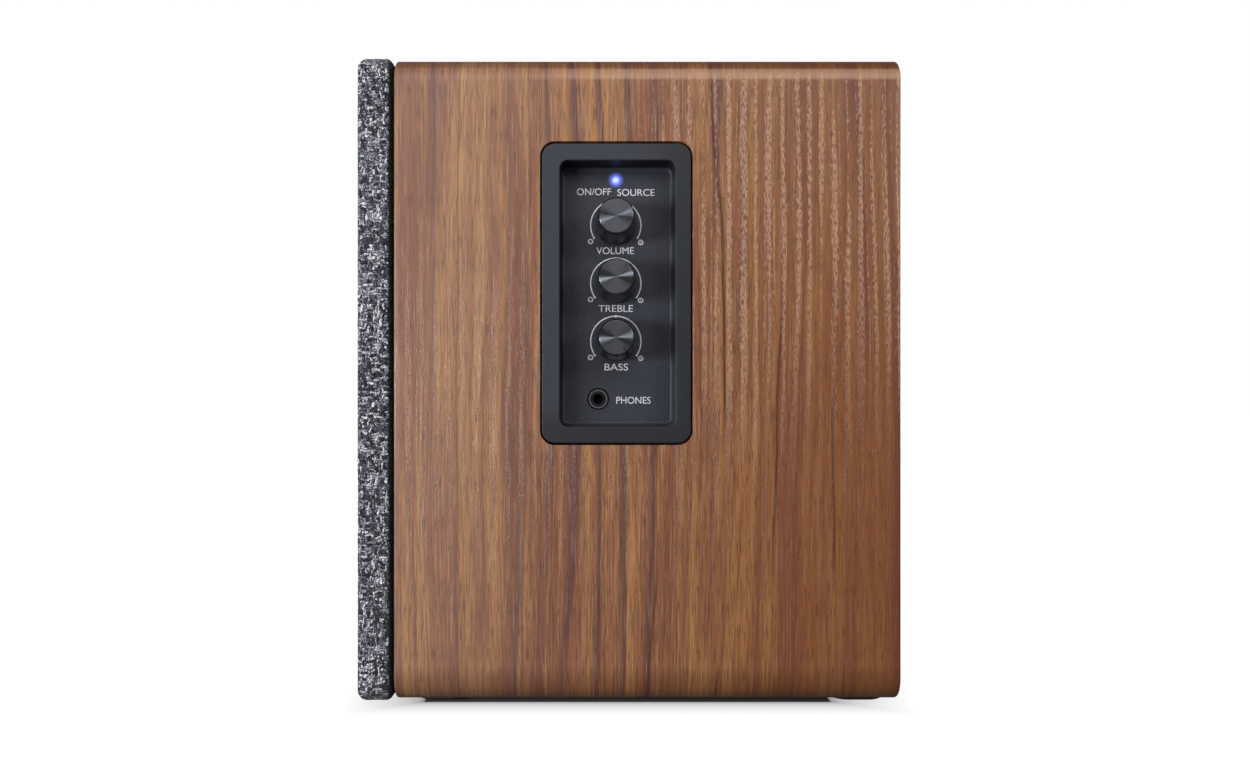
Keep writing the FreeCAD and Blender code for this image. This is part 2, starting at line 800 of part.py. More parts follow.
def woofer_magnet():
    ring(woofer_piece("woofer_magnet"), "magnet_in", "magnet_out",
         "-basket_deep - gap_plate_thick - magnet_thick", "-basket_deep - gap_plate_thick")


def woofer_yoke():
    body = woofer_piece("woofer_yoke")
    front = "(-basket_deep - gap_plate_thick - magnet_thick)"
    turn(body,
         ("0", "-basket_deep + 0.5"), ("0", f"{front} - yoke_thick"),
         ("yoke_radius", f"{front} - yoke_thick"), ("yoke_radius", front), ("pole_radius", front),
         ("pole_radius", "-basket_deep + 0.5"))


# Tweeter, drawn like the woofer.

def tweeter_piece(name):
    body = new_body(name)
    place(body, "0", BAFFLE_FRONT, "tweeter_height", FACING_FRONT)
    return body


def tweeter_faceplate():
    body = tweeter_piece("tweeter_faceplate")
    turn(body,
         ("tweeter_mouth", "-tweeter_face_deep"), ("tweeter_throat - 0.5", "-tweeter_face_deep"),
         ("tweeter_throat - 0.5", "-tweeter_rim_thick"), ("tweeter_rim", "-tweeter_rim_thick"),
         ("tweeter_rim", "0"), ("horn_radius", "0"), ("tweeter_mouth", "-horn_deep"))
    holes = [circle(*polar("tweeter_screw_ring", 45 + 90*quarter), "screw_shank")
             for quarter in range(4)]
    cut(body, "Z", holes, "-tweeter_rim_thick", "0")


def tweeter_surround():
    body = tweeter_piece("tweeter_surround")
    inside = "(tweeter_roll - tweeter_roll_gauge)"
    land = "(-tweeter_plate_top)"
    top = f"({land} + tweeter_roll_gauge)"
    reach = "sqrt(tweeter_roll^2 - tweeter_roll_gauge^2)"
    turn(body,
         ("dome_radius", land), (f"tweeter_roll_mid - {inside}", land),
         (f"tweeter_roll_mid + {inside}", land, inside, -1), ("tweeter_flange_out", land),
         ("tweeter_flange_out", top), (f"tweeter_roll_mid + {reach}", top),
         (f"tweeter_roll_mid - {reach}", top, "tweeter_roll", 1), ("dome_radius", top))


def tweeter_dome():
    dome(tweeter_piece("tweeter_dome"), "dome_radius", "dome_seat", "dome_rise", "dome_gauge")


def tweeter_voice_coil():
    ring(tweeter_piece("tweeter_voice_coil"), "tweeter_coil_in", "dome_radius",
         "-tweeter_coil_deep", "-dome_seat - dome_gauge")


def tweeter_top_plate():
    ring(tweeter_piece("tweeter_top_plate"), "tweeter_plate_in", "tweeter_plate_out",
         "-tweeter_plate_top - tweeter_plate_thick", "-tweeter_plate_top")


def tweeter_magnet():
    front = "(-tweeter_plate_top - tweeter_plate_thick)"
    ring(tweeter_piece("tweeter_magnet"), "tweeter_magnet_in", "tweeter_plate_out",
         f"{front} - tweeter_magnet_thick", front)


def tweeter_yoke():
    body = tweeter_piece("tweeter_yoke")
    front = "(-tweeter_plate_top - tweeter_plate_thick - tweeter_magnet_thick)"
    turn(body,
         ("0", "-tweeter_pole_top"), ("0", "-tweeter_deep"), ("tweeter_plate_out", "-tweeter_deep"),
         ("tweeter_plate_out", front),
         ("tweeter_pole", front), ("tweeter_pole", "-tweeter_pole_top"))


# Screws: pan heads with a cross. The head stands on the outer side of its seat.

def screws(name, axis, spots, seat, outward):
    body = new_body(name)

    def level(distance):
        return f"{seat} + ({outward})*({distance})"

    def span(first, second):
        return (first, second) if outward > 0 else (second, first)
    shanks = [circle(across, up, "screw_shank") for across, up in spots]
    heads = [circle(across, up, "screw_head") for across, up in spots]
    slots = [box(across, up, "cross_long", "cross_wide") for across, up in spots]
    bars = [box(across, up, "cross_wide", "cross_long") for across, up in spots]
    slab(body, axis, shanks, *span(level("-screw_grip"), level("0")))
    slab(body, axis, heads, *span(level("0"), level("screw_head_tall")))
    for cross in (slots, bars):
        cut(body, axis, cross, *span(level("screw_head_tall - cross_deep"), level("screw_head_tall")))


def driver_screws():
    screws("driver_screws", "Y", woofer_screw_spots() + tweeter_screw_spots(), BAFFLE_FRONT, -1)


def tray_screws():
    screws("tray_screws", "X", tray_screw_spots(), TRAY_BACK, -1)


def plate_screws():
    screws("plate_screws", "Y", plate_screw_spots(), PLATE_FACE, 1)


# Control tray

def control_tray():
    body = new_body("control_tray")
    middle = ("panel_middle", "panel_height")
    slab(body, "X", [rounded_box(*middle, "bezel_wide + 2*tray_flange", "bezel_tall + 2*tray_flange",
                             "tray_flange_corner")],
         TRAY_BACK, FLOOR)
    slab(body, "X", [rounded_box(*middle, "bezel_wide", "bezel_tall", "bezel_corner")],
         FLOOR, BEZEL_FACE)
    round_edges(body, "bezel_ease", lambda edge: flat_at(edge, "X", BEZEL_FACE))
    recess = rounded_box("recess_middle", "recess_height", "recess_wide", "recess_tall", "recess_corner")
    cut(body, "X", [recess], FLOOR, BEZEL_FACE, "recess_draft")
    round_edges(body, "recess_ease", lambda edge: in_recess(edge, BEZEL_FACE))
    round_edges(body, "recess_root", lambda edge: in_recess(edge, FLOOR))
    outer = rounded_box(*middle, "bezel_wide - 2*tray_gauge", "bezel_tall - 2*tray_gauge", "3")
    inner = rounded_box("recess_middle", "recess_height", "recess_wide + 2*tray_gauge",
                        "recess_tall + 2*tray_gauge", "4")
    cut(body, "X", [outer, inner], TRAY_BACK, f"{BEZEL_FACE} - tray_gauge")
    holes = [circle("knob_middle", up, "bush_hole")
             for up in ("volume_height", TREBLE_HEIGHT, BASS_HEIGHT)]
    holes.append(circle("jack_middle", "jack_height", "jack_hole"))
    holes.append(circle("knob_middle", "led_height", "led_hole"))
    holes += [circle(across, up, "screw_shank") for across, up in tray_screw_spots()]
    cut(body, "X", holes, TRAY_BACK, FLOOR)


def in_recess(edge, level):
    """True for an edge of the tray's recess, at its mouth or round its floor."""
    reach = value("recess_wide")/2 + 1
    return flat_at(edge, "X", level) and abs(edge.CenterOfMass.y - value("recess_middle")) < reach


def control_board():
    body = new_body("control_board")
    outline_box = box("knob_middle", "board_middle", "board_wide", "board_tall")
    slab(body, "X", [outline_box], f"{POT_BACK} - board_thick", POT_BACK)
    chips = [box("knob_middle - 10", "board_middle + 24", "7", "5"),
             box("knob_middle + 11", "board_middle - 6", "9", "9")]
    slab(body, "X", chips, f"{POT_BACK} - board_thick - 1.8", f"{POT_BACK} - board_thick")


def rotary_control(name, up, well_low):
    """A panel control: a box on the circuit board and a threaded bush that the shaft runs in."""
    body = new_body(name)
    slab(body, "X", [box("knob_middle", up, "pot_wide", "pot_tall")], POT_BACK, TRAY_BACK)
    slab(body, "X", [circle("knob_middle", up, "bush_radius")], TRAY_BACK, f"{FLOOR} + bush_rise")
    cut(body, "X", [circle("knob_middle", up, "shaft_radius + shaft_play")],
        well_low, f"{FLOOR} + bush_rise")


def volume_encoder():
    rotary_control("volume_encoder", "volume_height", f"{POT_BACK} + 0.4")


def treble_pot():
    rotary_control("treble_pot", TREBLE_HEIGHT, f"{FLOOR} - shaft_low - 0.2")


def bass_pot():
    rotary_control("bass_pot", BASS_HEIGHT, f"{FLOOR} - shaft_low - 0.2")


def volume_plunger():
    body = new_body("volume_plunger")
    top = f"({FLOOR} - shaft_low - 0.05)"
    slab(body, "X", [circle("knob_middle", "volume_height", "plunger_radius")],
         f"{top} - plunger_thick", top)


def knob_piece(name, up, degrees):
    """A piece on a shaft. Its own Z axis points out of the tray, from the tray's floor, and its
    own -X side is the index side, which stands at degrees clockwise from the top."""
    body = new_body(name)
    spin = Rotation(Vector(1, 0, 0), -value(degrees))
    place(body, FLOOR, "knob_middle", up, spin.multiply(FACING_RIGHT))
    return body


def shaft(name, up, degrees):
    body = knob_piece(name, up, degrees)
    slab(body, "Z", [circle("0", "0", "shaft_radius")], "-shaft_low", "knob_bore_top")


def knob(name, up, degrees, marked):
    body = knob_piece(name, up, degrees)
    seat = "(knob_tall - knob_cap_sink)"
    turn(body,
         ("0", "knob_bore_top"), ("shaft_radius", "knob_bore_top"), ("shaft_radius", "knob_hub_low"),
         ("knob_hub", "knob_hub_low"), ("knob_hub", "knob_hollow"), ("knob_skirt - 0.8", "knob_hollow"),
         ("knob_skirt", "knob_lift"), ("knob_base", "knob_lift"), ("knob_top", f"{seat}"),
         ("knob_top - 0.2", "knob_tall"), ("knob_cap", "knob_tall"), ("knob_cap", seat), ("0", seat))
    if marked:
        mark = box("-knob_base/2 - knob_top/2 + mark_deep", "0", "knob_base - knob_top", "mark_wide")
        cut(body, "Z", [mark], "mark_low", "knob_tall")


def knob_cap(name, up, degrees):
    body = knob_piece(name, up, degrees)
    low = "(knob_tall - knob_cap_sink)"
    turn(body,
         ("0", low), ("knob_cap", low), ("knob_cap", f"{low} + knob_cap_thick - 0.1"),
         ("knob_cap - 0.25", f"{low} + knob_cap_thick"), ("0", f"{low} + knob_cap_thick"))


def knobs():
    for word, up, degrees, marked in (("volume", "volume_height", "0", False),
                                      ("treble", TREBLE_HEIGHT, "treble_turn", True),
                                      ("bass", BASS_HEIGHT, "bass_turn", True)):
        shaft(f"{word}_shaft", up, degrees)
        knob(f"{word}_knob", up, degrees, marked)
        knob_cap(f"{word}_knob_cap", up, degrees)


def headphone_jack():
    body = new_body("headphone_jack")
    middle = ("jack_middle", "jack_height")
    face = f"({FLOOR} + jack_proud)"
    slab(body, "X", [box(*middle, "jack_box_wide", "jack_box_wide")],
         f"{TRAY_BACK} - jack_box_long", TRAY_BACK)
    slab(body, "X", [circle(*middle, "jack_ring")], TRAY_BACK, face)
    cut(body, "X", [circle(*middle, "jack_bore")], f"{face} - jack_mouth_deep - jack_bore_long", face)
    cut(body, "X", [circle(*middle, "jack_mouth")], f"{face} - jack_mouth_deep", face)


def power_led():
    body = new_body("power_led")
    turn(body,
         ("0", "led_dome - led_long"), ("led_radius", "led_dome - led_long"), ("led_radius", "0"),
         ("0", "led_dome", "(led_radius^2 + led_dome^2)/(2*led_dome)", 1))
    place(body, FLOOR, "knob_middle", "led_height", FACING_RIGHT)


# Back

def amp_plate():
    body = new_body("amp_plate")
    holes = [circle(across, up, "rca_collar + rca_play") for across, up in rca_spots()]
    holes.append(box("clip_across", "clip_height", "clip_wide - 6", "clip_tall - 6"))
    holes.append(box("switch_across", "switch_height", "switch_body_wide", "switch_body_tall"))
    holes.append(box("inlet_across", "inlet_height", "inlet_body_wide", "inlet_body_tall"))
    holes += [circle(across, up, "screw_shank") for across, up in plate_screw_spots()]
    edge = rounded_box("0", "plate_middle", "plate_wide", "plate_tall", "4")
    slab(body, "Y", [edge] + holes, REAR_FACE, PLATE_FACE)


def rca_spots():
    return [(f"rca_across + {across}", f"rca_height + {up}")
            for across, up in grid("rca_pitch/2", "rca_pitch/2")]


def rca_inputs():
    body = new_body("rca_inputs")
    slab(body, "Y", [box("rca_across", "rca_height", "rca_box_wide", "rca_box_tall")],
         MAIN_BOARD_BACK, REAR_FACE)
    collars = [circle(across, up, "rca_collar") for across, up in rca_spots()]
    barrels = [circle(across, up, "rca_radius") for across, up in rca_spots()]
    bores = [circle(across, up, "rca_hole") for across, up in rca_spots()]
    slab(body, "Y", collars, REAR_FACE, PLATE_FACE)
    slab(body, "Y", barrels, PLATE_FACE, f"{PLATE_FACE} + rca_long")
    cut(body, "Y", bores, f"{PLATE_FACE} + rca_long - rca_deep", f"{PLATE_FACE} + rca_long")


def clip_columns():
    return [f"(clip_across + {side}*clip_pitch/2)" for side in (-1, 1)]


def clip_terminals():
    body = new_body("clip_terminals")
    face = f"({PLATE_FACE} + clip_thick)"
    slab(body, "Y", [rounded_box("clip_across", "clip_height", "clip_wide", "clip_tall", "2")],
         PLATE_FACE, face)
    slab(body, "Y", [box("clip_across", "clip_height", "clip_wide - 6", "clip_tall - 6")],
         f"{REAR_FACE} - clip_box_deep", PLATE_FACE)
    slots = [box(across, "clip_height + clip_slot_rise", "clip_slot_wide", "clip_slot_tall")
             for across in clip_columns()]
    cut(body, "Y", slots, f"{face} - clip_slot_deep", face)
    wire_ways = [circle(across, "clip_height - clip_hole_drop", "clip_hole")
                 for across in clip_columns()]
    cut(body, "Y", wire_ways, f"{REAR_FACE} - clip_box_deep + 2", face)


def clip_lever(name, across):
    """A spring-clip lever, hinged along its top edge."""
    body = new_body(name)
    top = "(clip_height + clip_slot_rise + clip_lever_tall/2)"
    front = f"({PLATE_FACE} + clip_thick + clip_lever_proud)"
    back = f"({front} - clip_lever_thick)"
    profile = outline((back, f"{top} - clip_lever_tall"), (front, f"{top} - clip_lever_tall"),
                      (front, f"{top} - 1.5"), (f"{front} - 1.2", top), (back, top))
    slab(body, "X", [profile], f"{across} - clip_lever_wide/2", f"{across} + clip_lever_wide/2")


def clip_levers():
    black, red = clip_columns()
    clip_lever("clip_lever_black", black)
    clip_lever("clip_lever_red", red)


def power_switch():
    body = new_body("power_switch_frame")
    middle = ("switch_across", "switch_height")
    face = f"({PLATE_FACE} + switch_flange)"
    slab(body, "Y", [rounded_box(*middle, "switch_wide", "switch_tall", "1.5")], PLATE_FACE, face)
    slab(body, "Y", [box(*middle, "switch_body_wide", "switch_body_tall")],
         f"{PLATE_FACE} - switch_body_deep", PLATE_FACE)
    well = box(*middle, "rocker_wide + 2*rocker_play", "2*(rocker_half + 2*rocker_play)")
    cut(body, "Y", [well], f"{face} - rocker_well", face)


def power_rocker():
    """The rocker, drawn level in its own frame and then tipped about its pivot."""
    body = new_body("power_rocker")
    half, tip = "rocker_half", "rocker_tip"
    profile = outline((f"-rocker_side", f"-{half}"), (f"-rocker_root", "0"), (f"-rocker_side", half),
                      (tip, half), ("rocker_dip", "0"), (tip, f"-{half}"))
    slab(body, "X", [profile], "-rocker_wide/2", "rocker_wide/2")
    place(body, "switch_across", f"{PLATE_FACE} + switch_flange", "switch_height",
          Rotation(Vector(1, 0, 0), value("rocker_tilt")))


def mains_inlet():
    body = new_body("mains_inlet")
    middle = ("inlet_across", "inlet_height")
    face = f"({PLATE_FACE} + inlet_flange)"
    floor = f"({face} - inlet_mouth_deep)"
    slab(body, "Y", [rounded_box(*middle, "inlet_wide", "inlet_tall", "3")], PLATE_FACE, face)
    slab(body, "Y", [box(*middle, "inlet_body_wide", "inlet_body_tall")],
         f"{PLATE_FACE} - inlet_body_deep", PLATE_FACE)
    mouth = rounded_box(*middle, "inlet_mouth_wide", "inlet_mouth_tall", "(inlet_mouth_tall/2 - 0.1)")
    cut(body, "Y", [mouth], floor, face)
    pins = [circle(f"inlet_across + {side}*inlet_pin_pitch/2", "inlet_height", "inlet_pin")
            for side in (-1, 1)]
    slab(body, "Y", pins, floor, f"{floor} + inlet_pin_long")


def main_board():
    body = new_body("main_board")
    middle = "(main_board_low + main_board_high)/2"
    sink_up = "(main_board_low + 16)"
    slab(body, "Y", [box("0", middle, "main_board_wide", "main_board_high - main_board_low")],
         MAIN_BOARD_FRONT, MAIN_BOARD_BACK)
    slab(body, "Y", [box("0", sink_up, "sink_wide", "sink_tall")],
         f"{MAIN_BOARD_FRONT} - sink_base", MAIN_BOARD_FRONT)
    fins = [box(f"{step}*sink_pitch", sink_up, "sink_fin", "sink_tall") for step in range(-4, 5)]
    slab(body, "Y", fins, f"{MAIN_BOARD_FRONT} - sink_deep", f"{MAIN_BOARD_FRONT} - sink_base")
    cans = [circle(f"{side}*13", "main_board_low + 44", "capacitor_radius") for side in (-1, 1)]
    slab(body, "Y", cans, f"{MAIN_BOARD_FRONT} - capacitor_long", MAIN_BOARD_FRONT)
    plugs = [box(across, up, "8", "6") for across, up in lead_sockets()]
    slab(body, "Y", plugs, f"{MAIN_BOARD_FRONT} - 6", MAIN_BOARD_FRONT)


def lead_sockets():
    return [("-35", "main_board_high - 24"), ("-10", "main_board_high - 10"),
            ("34", "main_board_high - 42")]


def transformer():
    body = new_body("transformer")
    middle = "(transformer_back - transformer_deep/2)"
    slab(body, "Z", [box("0", middle, "transformer_wide + 2*bracket_reach", "transformer_deep/2")],
         INNER_BOTTOM, f"{INNER_BOTTOM} + bracket_thick")
    slab(body, "Z", [box("0", middle, "transformer_wide", "transformer_deep")],
         f"{INNER_BOTTOM} + bracket_thick", f"{INNER_BOTTOM} + transformer_tall")
    bobbin_low = f"({INNER_BOTTOM} + (transformer_tall - bobbin_tall)/2)"
    slab(body, "Z", [box("0", middle, "bobbin_wide", "bobbin_deep")],
         bobbin_low, f"{bobbin_low} + bobbin_tall")


# Leads: straight runs joined by tangent arcs as large as the runs allow.

def lead(name, points):
    route = [Vector(*(value(number) for number in point)) for point in points]
    edges, start, length = [], route[0], 0
    for before, corner, after in zip(route, route[1:], route[2:]):
        inward, outward = (corner - before), (after - corner)
        back = 0.45*min(inward.Length, outward.Length)
        half_turn = inward.getAngle(outward)/2
        radius = back/math.tan(half_turn)
        inward.normalize()
        outward.normalize()
        first, last = corner - inward*back, corner + outward*back
        middle = corner + (outward - inward).normalize()*(radius/math.cos(half_turn) - radius)
        print(f"{name}: bend radius {radius:.1f}")
        edges += [Part.LineSegment(start, first).toShape(), Part.Arc(first, middle, last).toShape()]
        start = last
    edges.append(Part.LineSegment(start, route[-1]).toShape())
    path = Part.Wire(edges)
    radius = value("lead_radius")
    section = Part.Wire([Part.makeCircle(radius, route[0], route[1] - route[0])])
    tube = path.makePipeShell([section], True, False)
    expected = math.pi*radius**2*path.Length
    if abs(tube.Volume/expected - 1) > 0.01:
        raise RuntimeError(f"{name} has volume {tube.Volume:.1f}, not {expected:.1f}")
    print(f"{name}: length {path.Length:.1f}")
    body = doc.addObject("Part::Feature", name)
    body.Label = name
    body.Shape = tube
    sub_parts.append(body)


def leads():
    starts = [(across, f"{MAIN_BOARD_FRONT} - 6", up) for across, up in lead_sockets()]
    lead("woofer_lead", [starts[0], ("-35", "44", "133"), ("-39", "12", "121"), ("-41", "-18", "103"),
                         ("-40", "-40", "86"), ("-33", "-53", "76"),
                         ("-33", f"{BAFFLE_FRONT} + basket_shelf_deep", "76")])
    lead("tweeter_lead", [starts[1], ("-10", "44", "147"), ("-17", "14", "151"), ("-22", "-16", "160"),
                          ("-20", "-40", "170"), ("-14", "-55", "177"),
                          ("-14", f"{BAFFLE_FRONT} + tweeter_deep", "177")])
    lead("control_lead", [starts[2], ("34", "42", "115"), ("33", "24", "121"), ("34", "8", "133"),
                          ("39", "1", "144"), ("47", "0", "147"),
                          (f"{POT_BACK} - board_thick", "0", "147")])


def check():
    for item in doc.Objects:
        if "Invalid" in item.State or "Error" in item.State:
            raise RuntimeError(f"{item.Name} is {item.State}")
    for item in sub_parts:
        if item.Shape.isNull() or not item.Shape.isValid() or not item.Shape.Solids:
            raise RuntimeError(f"{item.Label} has a bad shape")


for build in (cabinet_sleeve, front_baffle, rear_board, rubber_feet, damping_wadding, port_tube,
              grille_frame, grille_cloth, grille_pegs, grille_sockets,
              woofer_basket, woofer_surround, woofer_cone, woofer_dust_cap, woofer_voice_coil,
              woofer_spider, woofer_top_plate, woofer_magnet, woofer_yoke,
              tweeter_faceplate, tweeter_surround, tweeter_dome, tweeter_voice_coil,
              tweeter_top_plate, tweeter_magnet, tweeter_yoke, driver_screws,
              control_tray, tray_screws, control_board, volume_encoder, treble_pot, bass_pot,
              volume_plunger, knobs, headphone_jack, power_led,
              amp_plate, plate_screws, rca_inputs, clip_terminals, clip_levers, power_switch,
              power_rocker, mains_inlet, main_board, transformer, leads):
    build()
doc.recompute()
check()
os.makedirs("parts", exist_ok=True)
for item in sub_parts:
    item.Shape.exportStep(f"parts/{item.Label}.step")
    bounds = item.Shape.BoundBox
    print(f"{item.Label}: {len(item.Shape.Solids)} solid(s), {item.Shape.Volume/1000:.2f} cm3, "
          f"{bounds.XLength:.1f} x {bounds.YLength:.1f} x {bounds.ZLength:.1f}")
print(f"{len(sub_parts)} sub-parts")
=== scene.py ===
import math

import bmesh
import bpy
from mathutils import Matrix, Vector, noise


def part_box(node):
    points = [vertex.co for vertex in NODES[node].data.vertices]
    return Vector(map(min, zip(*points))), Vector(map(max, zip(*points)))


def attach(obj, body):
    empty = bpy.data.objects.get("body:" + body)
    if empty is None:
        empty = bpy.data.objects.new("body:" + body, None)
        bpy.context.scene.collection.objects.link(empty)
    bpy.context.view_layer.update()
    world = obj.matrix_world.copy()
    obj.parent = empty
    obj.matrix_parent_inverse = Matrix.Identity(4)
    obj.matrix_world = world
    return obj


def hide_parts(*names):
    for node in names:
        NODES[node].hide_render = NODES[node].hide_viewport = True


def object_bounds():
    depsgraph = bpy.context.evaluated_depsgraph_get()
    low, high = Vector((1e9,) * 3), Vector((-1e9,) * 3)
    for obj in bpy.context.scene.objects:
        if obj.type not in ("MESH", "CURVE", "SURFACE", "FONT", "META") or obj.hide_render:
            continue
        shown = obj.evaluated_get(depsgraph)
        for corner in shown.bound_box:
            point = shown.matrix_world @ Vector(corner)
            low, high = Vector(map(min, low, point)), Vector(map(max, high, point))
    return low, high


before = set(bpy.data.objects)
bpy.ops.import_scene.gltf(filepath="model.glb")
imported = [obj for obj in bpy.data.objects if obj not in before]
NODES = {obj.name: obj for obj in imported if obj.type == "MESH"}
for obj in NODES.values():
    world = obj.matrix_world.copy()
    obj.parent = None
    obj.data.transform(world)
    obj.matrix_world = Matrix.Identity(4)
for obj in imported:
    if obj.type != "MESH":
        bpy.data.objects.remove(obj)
cad_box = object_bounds()
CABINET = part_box("cabinet_sleeve")
MM = 0.001
WALL_THICK = 9.0        # the cabinet's board, in millimetres


# ---------------------------------------------------------------- shader helpers

def tone(code):
    """Linear colour from a hex code in sRGB."""
    levels = [int(code[at:at + 2], 16)/255 for at in (0, 2, 4)]
    return tuple(v/12.92 if v <= 0.04045 else ((v + 0.055)/1.055)**2.4 for v in levels) + (1.0,)


def scaled(code, factor, lift=0.0):
    """The colour of a hex code, made darker or paler."""
    return tuple(channel*factor + lift for channel in tone(code)[:3]) + (1.0,)


class Shade:
    """A material under construction. Sockets and plain values can be mixed freely."""

    def __init__(self, name):
        self.material = bpy.data.materials.new(name)
        self.material.use_nodes = True
        self.nodes = self.material.node_tree.nodes
        self.links = self.material.node_tree.links
        self.nodes.clear()
        self.surface = self.add("ShaderNodeBsdfPrincipled")
        output = self.add("ShaderNodeOutputMaterial")
        self.links.new(self.surface.outputs[0], output.inputs["Surface"])

    def add(self, kind, **settings):
        node = self.nodes.new(kind)
        for key, setting in settings.items():
            setattr(node, key, setting)
        return node

    def put(self, socket, value):
        if isinstance(value, bpy.types.NodeSocket):
            self.links.new(value, socket)
        else:
            socket.default_value = value

    def set(self, **values):
        for name, value in values.items():
            self.put(self.surface.inputs[name.replace("_", " ")], value)
        return self

    def place(self):
        """Object coordinates in millimetres."""
        return self.vector("SCALE", self.add("ShaderNodeTexCoord").outputs["Object"], scale=1000.0)

    def vector(self, operation, first, second=None, scale=None):
        node = self.add("ShaderNodeVectorMath", operation=operation)
        self.put(node.inputs[0], first)
        if second is not None:
            self.put(node.inputs[1], second)
        if scale is not None:
            self.put(node.inputs["Scale"], scale)
        return node.outputs["Value" if operation in ("LENGTH", "DOT_PRODUCT") else "Vector"]

    def split(self, vector):
        node = self.add("ShaderNodeSeparateXYZ")
        self.put(node.inputs[0], vector)
        return node.outputs[0], node.outputs[1], node.outputs[2]

    def join(self, x=0.0, y=0.0, z=0.0):
        node = self.add("ShaderNodeCombineXYZ")
        for socket, value in zip(node.inputs, (x, y, z)):
            self.put(socket, value)
        return node.outputs[0]

    def math(self, operation, *values, clamp=False):
        node = self.add("ShaderNodeMath", operation=operation, use_clamp=clamp)
        for socket, value in zip(node.inputs, values):
            self.put(socket, value)
        return node.outputs[0]

    def times(self, first, second, clamp=False):
        return self.math("MULTIPLY", first, second, clamp=clamp)

    def plus(self, first, second):
        return self.math("ADD", first, second)

    def fade(self, value, start, finish, low=0.0, high=1.0):
        """low up to start, high from finish, with a smooth step between."""
        node = self.add("ShaderNodeMapRange", interpolation_type="SMOOTHSTEP")
        for socket, entry in zip(node.inputs, (value, start, finish, low, high)):
            self.put(socket, entry)
        return node.outputs[0]

    def noise(self, vector, scale=1.0, detail=2.0, roughness=0.5):
        node = self.add("ShaderNodeTexNoise")
        self.put(node.inputs["Vector"], vector)
        self.put(node.inputs["Scale"], scale)
        self.put(node.inputs["Detail"], detail)
        self.put(node.inputs["Roughness"], roughness)
        return node.outputs["Fac"]

    def speck(self, vector):
        """A random number from 0 to 1 for each whole-number cell."""
        node = self.add("ShaderNodeTexWhiteNoise")
        self.put(node.inputs["Vector"], self.vector("FLOOR", vector))
        return node.outputs["Value"]

    def ramp(self, amount, *stops):
        node = self.add("ShaderNodeValToRGB")
        self.put(node.inputs[0], amount)
        elements = node.color_ramp.elements
        while len(elements) < len(stops):
            elements.new(0.5)
        for element, (position, colour) in zip(elements, stops):
            element.position = position
            element.color = colour
        return node.outputs[0]

    def mix(self, amount, first, second, blend="MIX"):
        node = self.add("ShaderNodeMix", data_type="RGBA", blend_type=blend)
        self.put(node.inputs[0], amount)
        self.put(node.inputs[6], first)
        self.put(node.inputs[7], second)
        return node.outputs[2]

    def bump(self, height, depth, strength=1.0):
        """A normal from a height of 0 to 1, depth metres from low to high."""
        node = self.add("ShaderNodeBump")
        self.put(node.inputs["Height"], height)
        self.put(node.inputs["Distance"], depth)
        self.put(node.inputs["Strength"], strength)
        return node.outputs[0]


# ---------------------------------------------------------------- materials

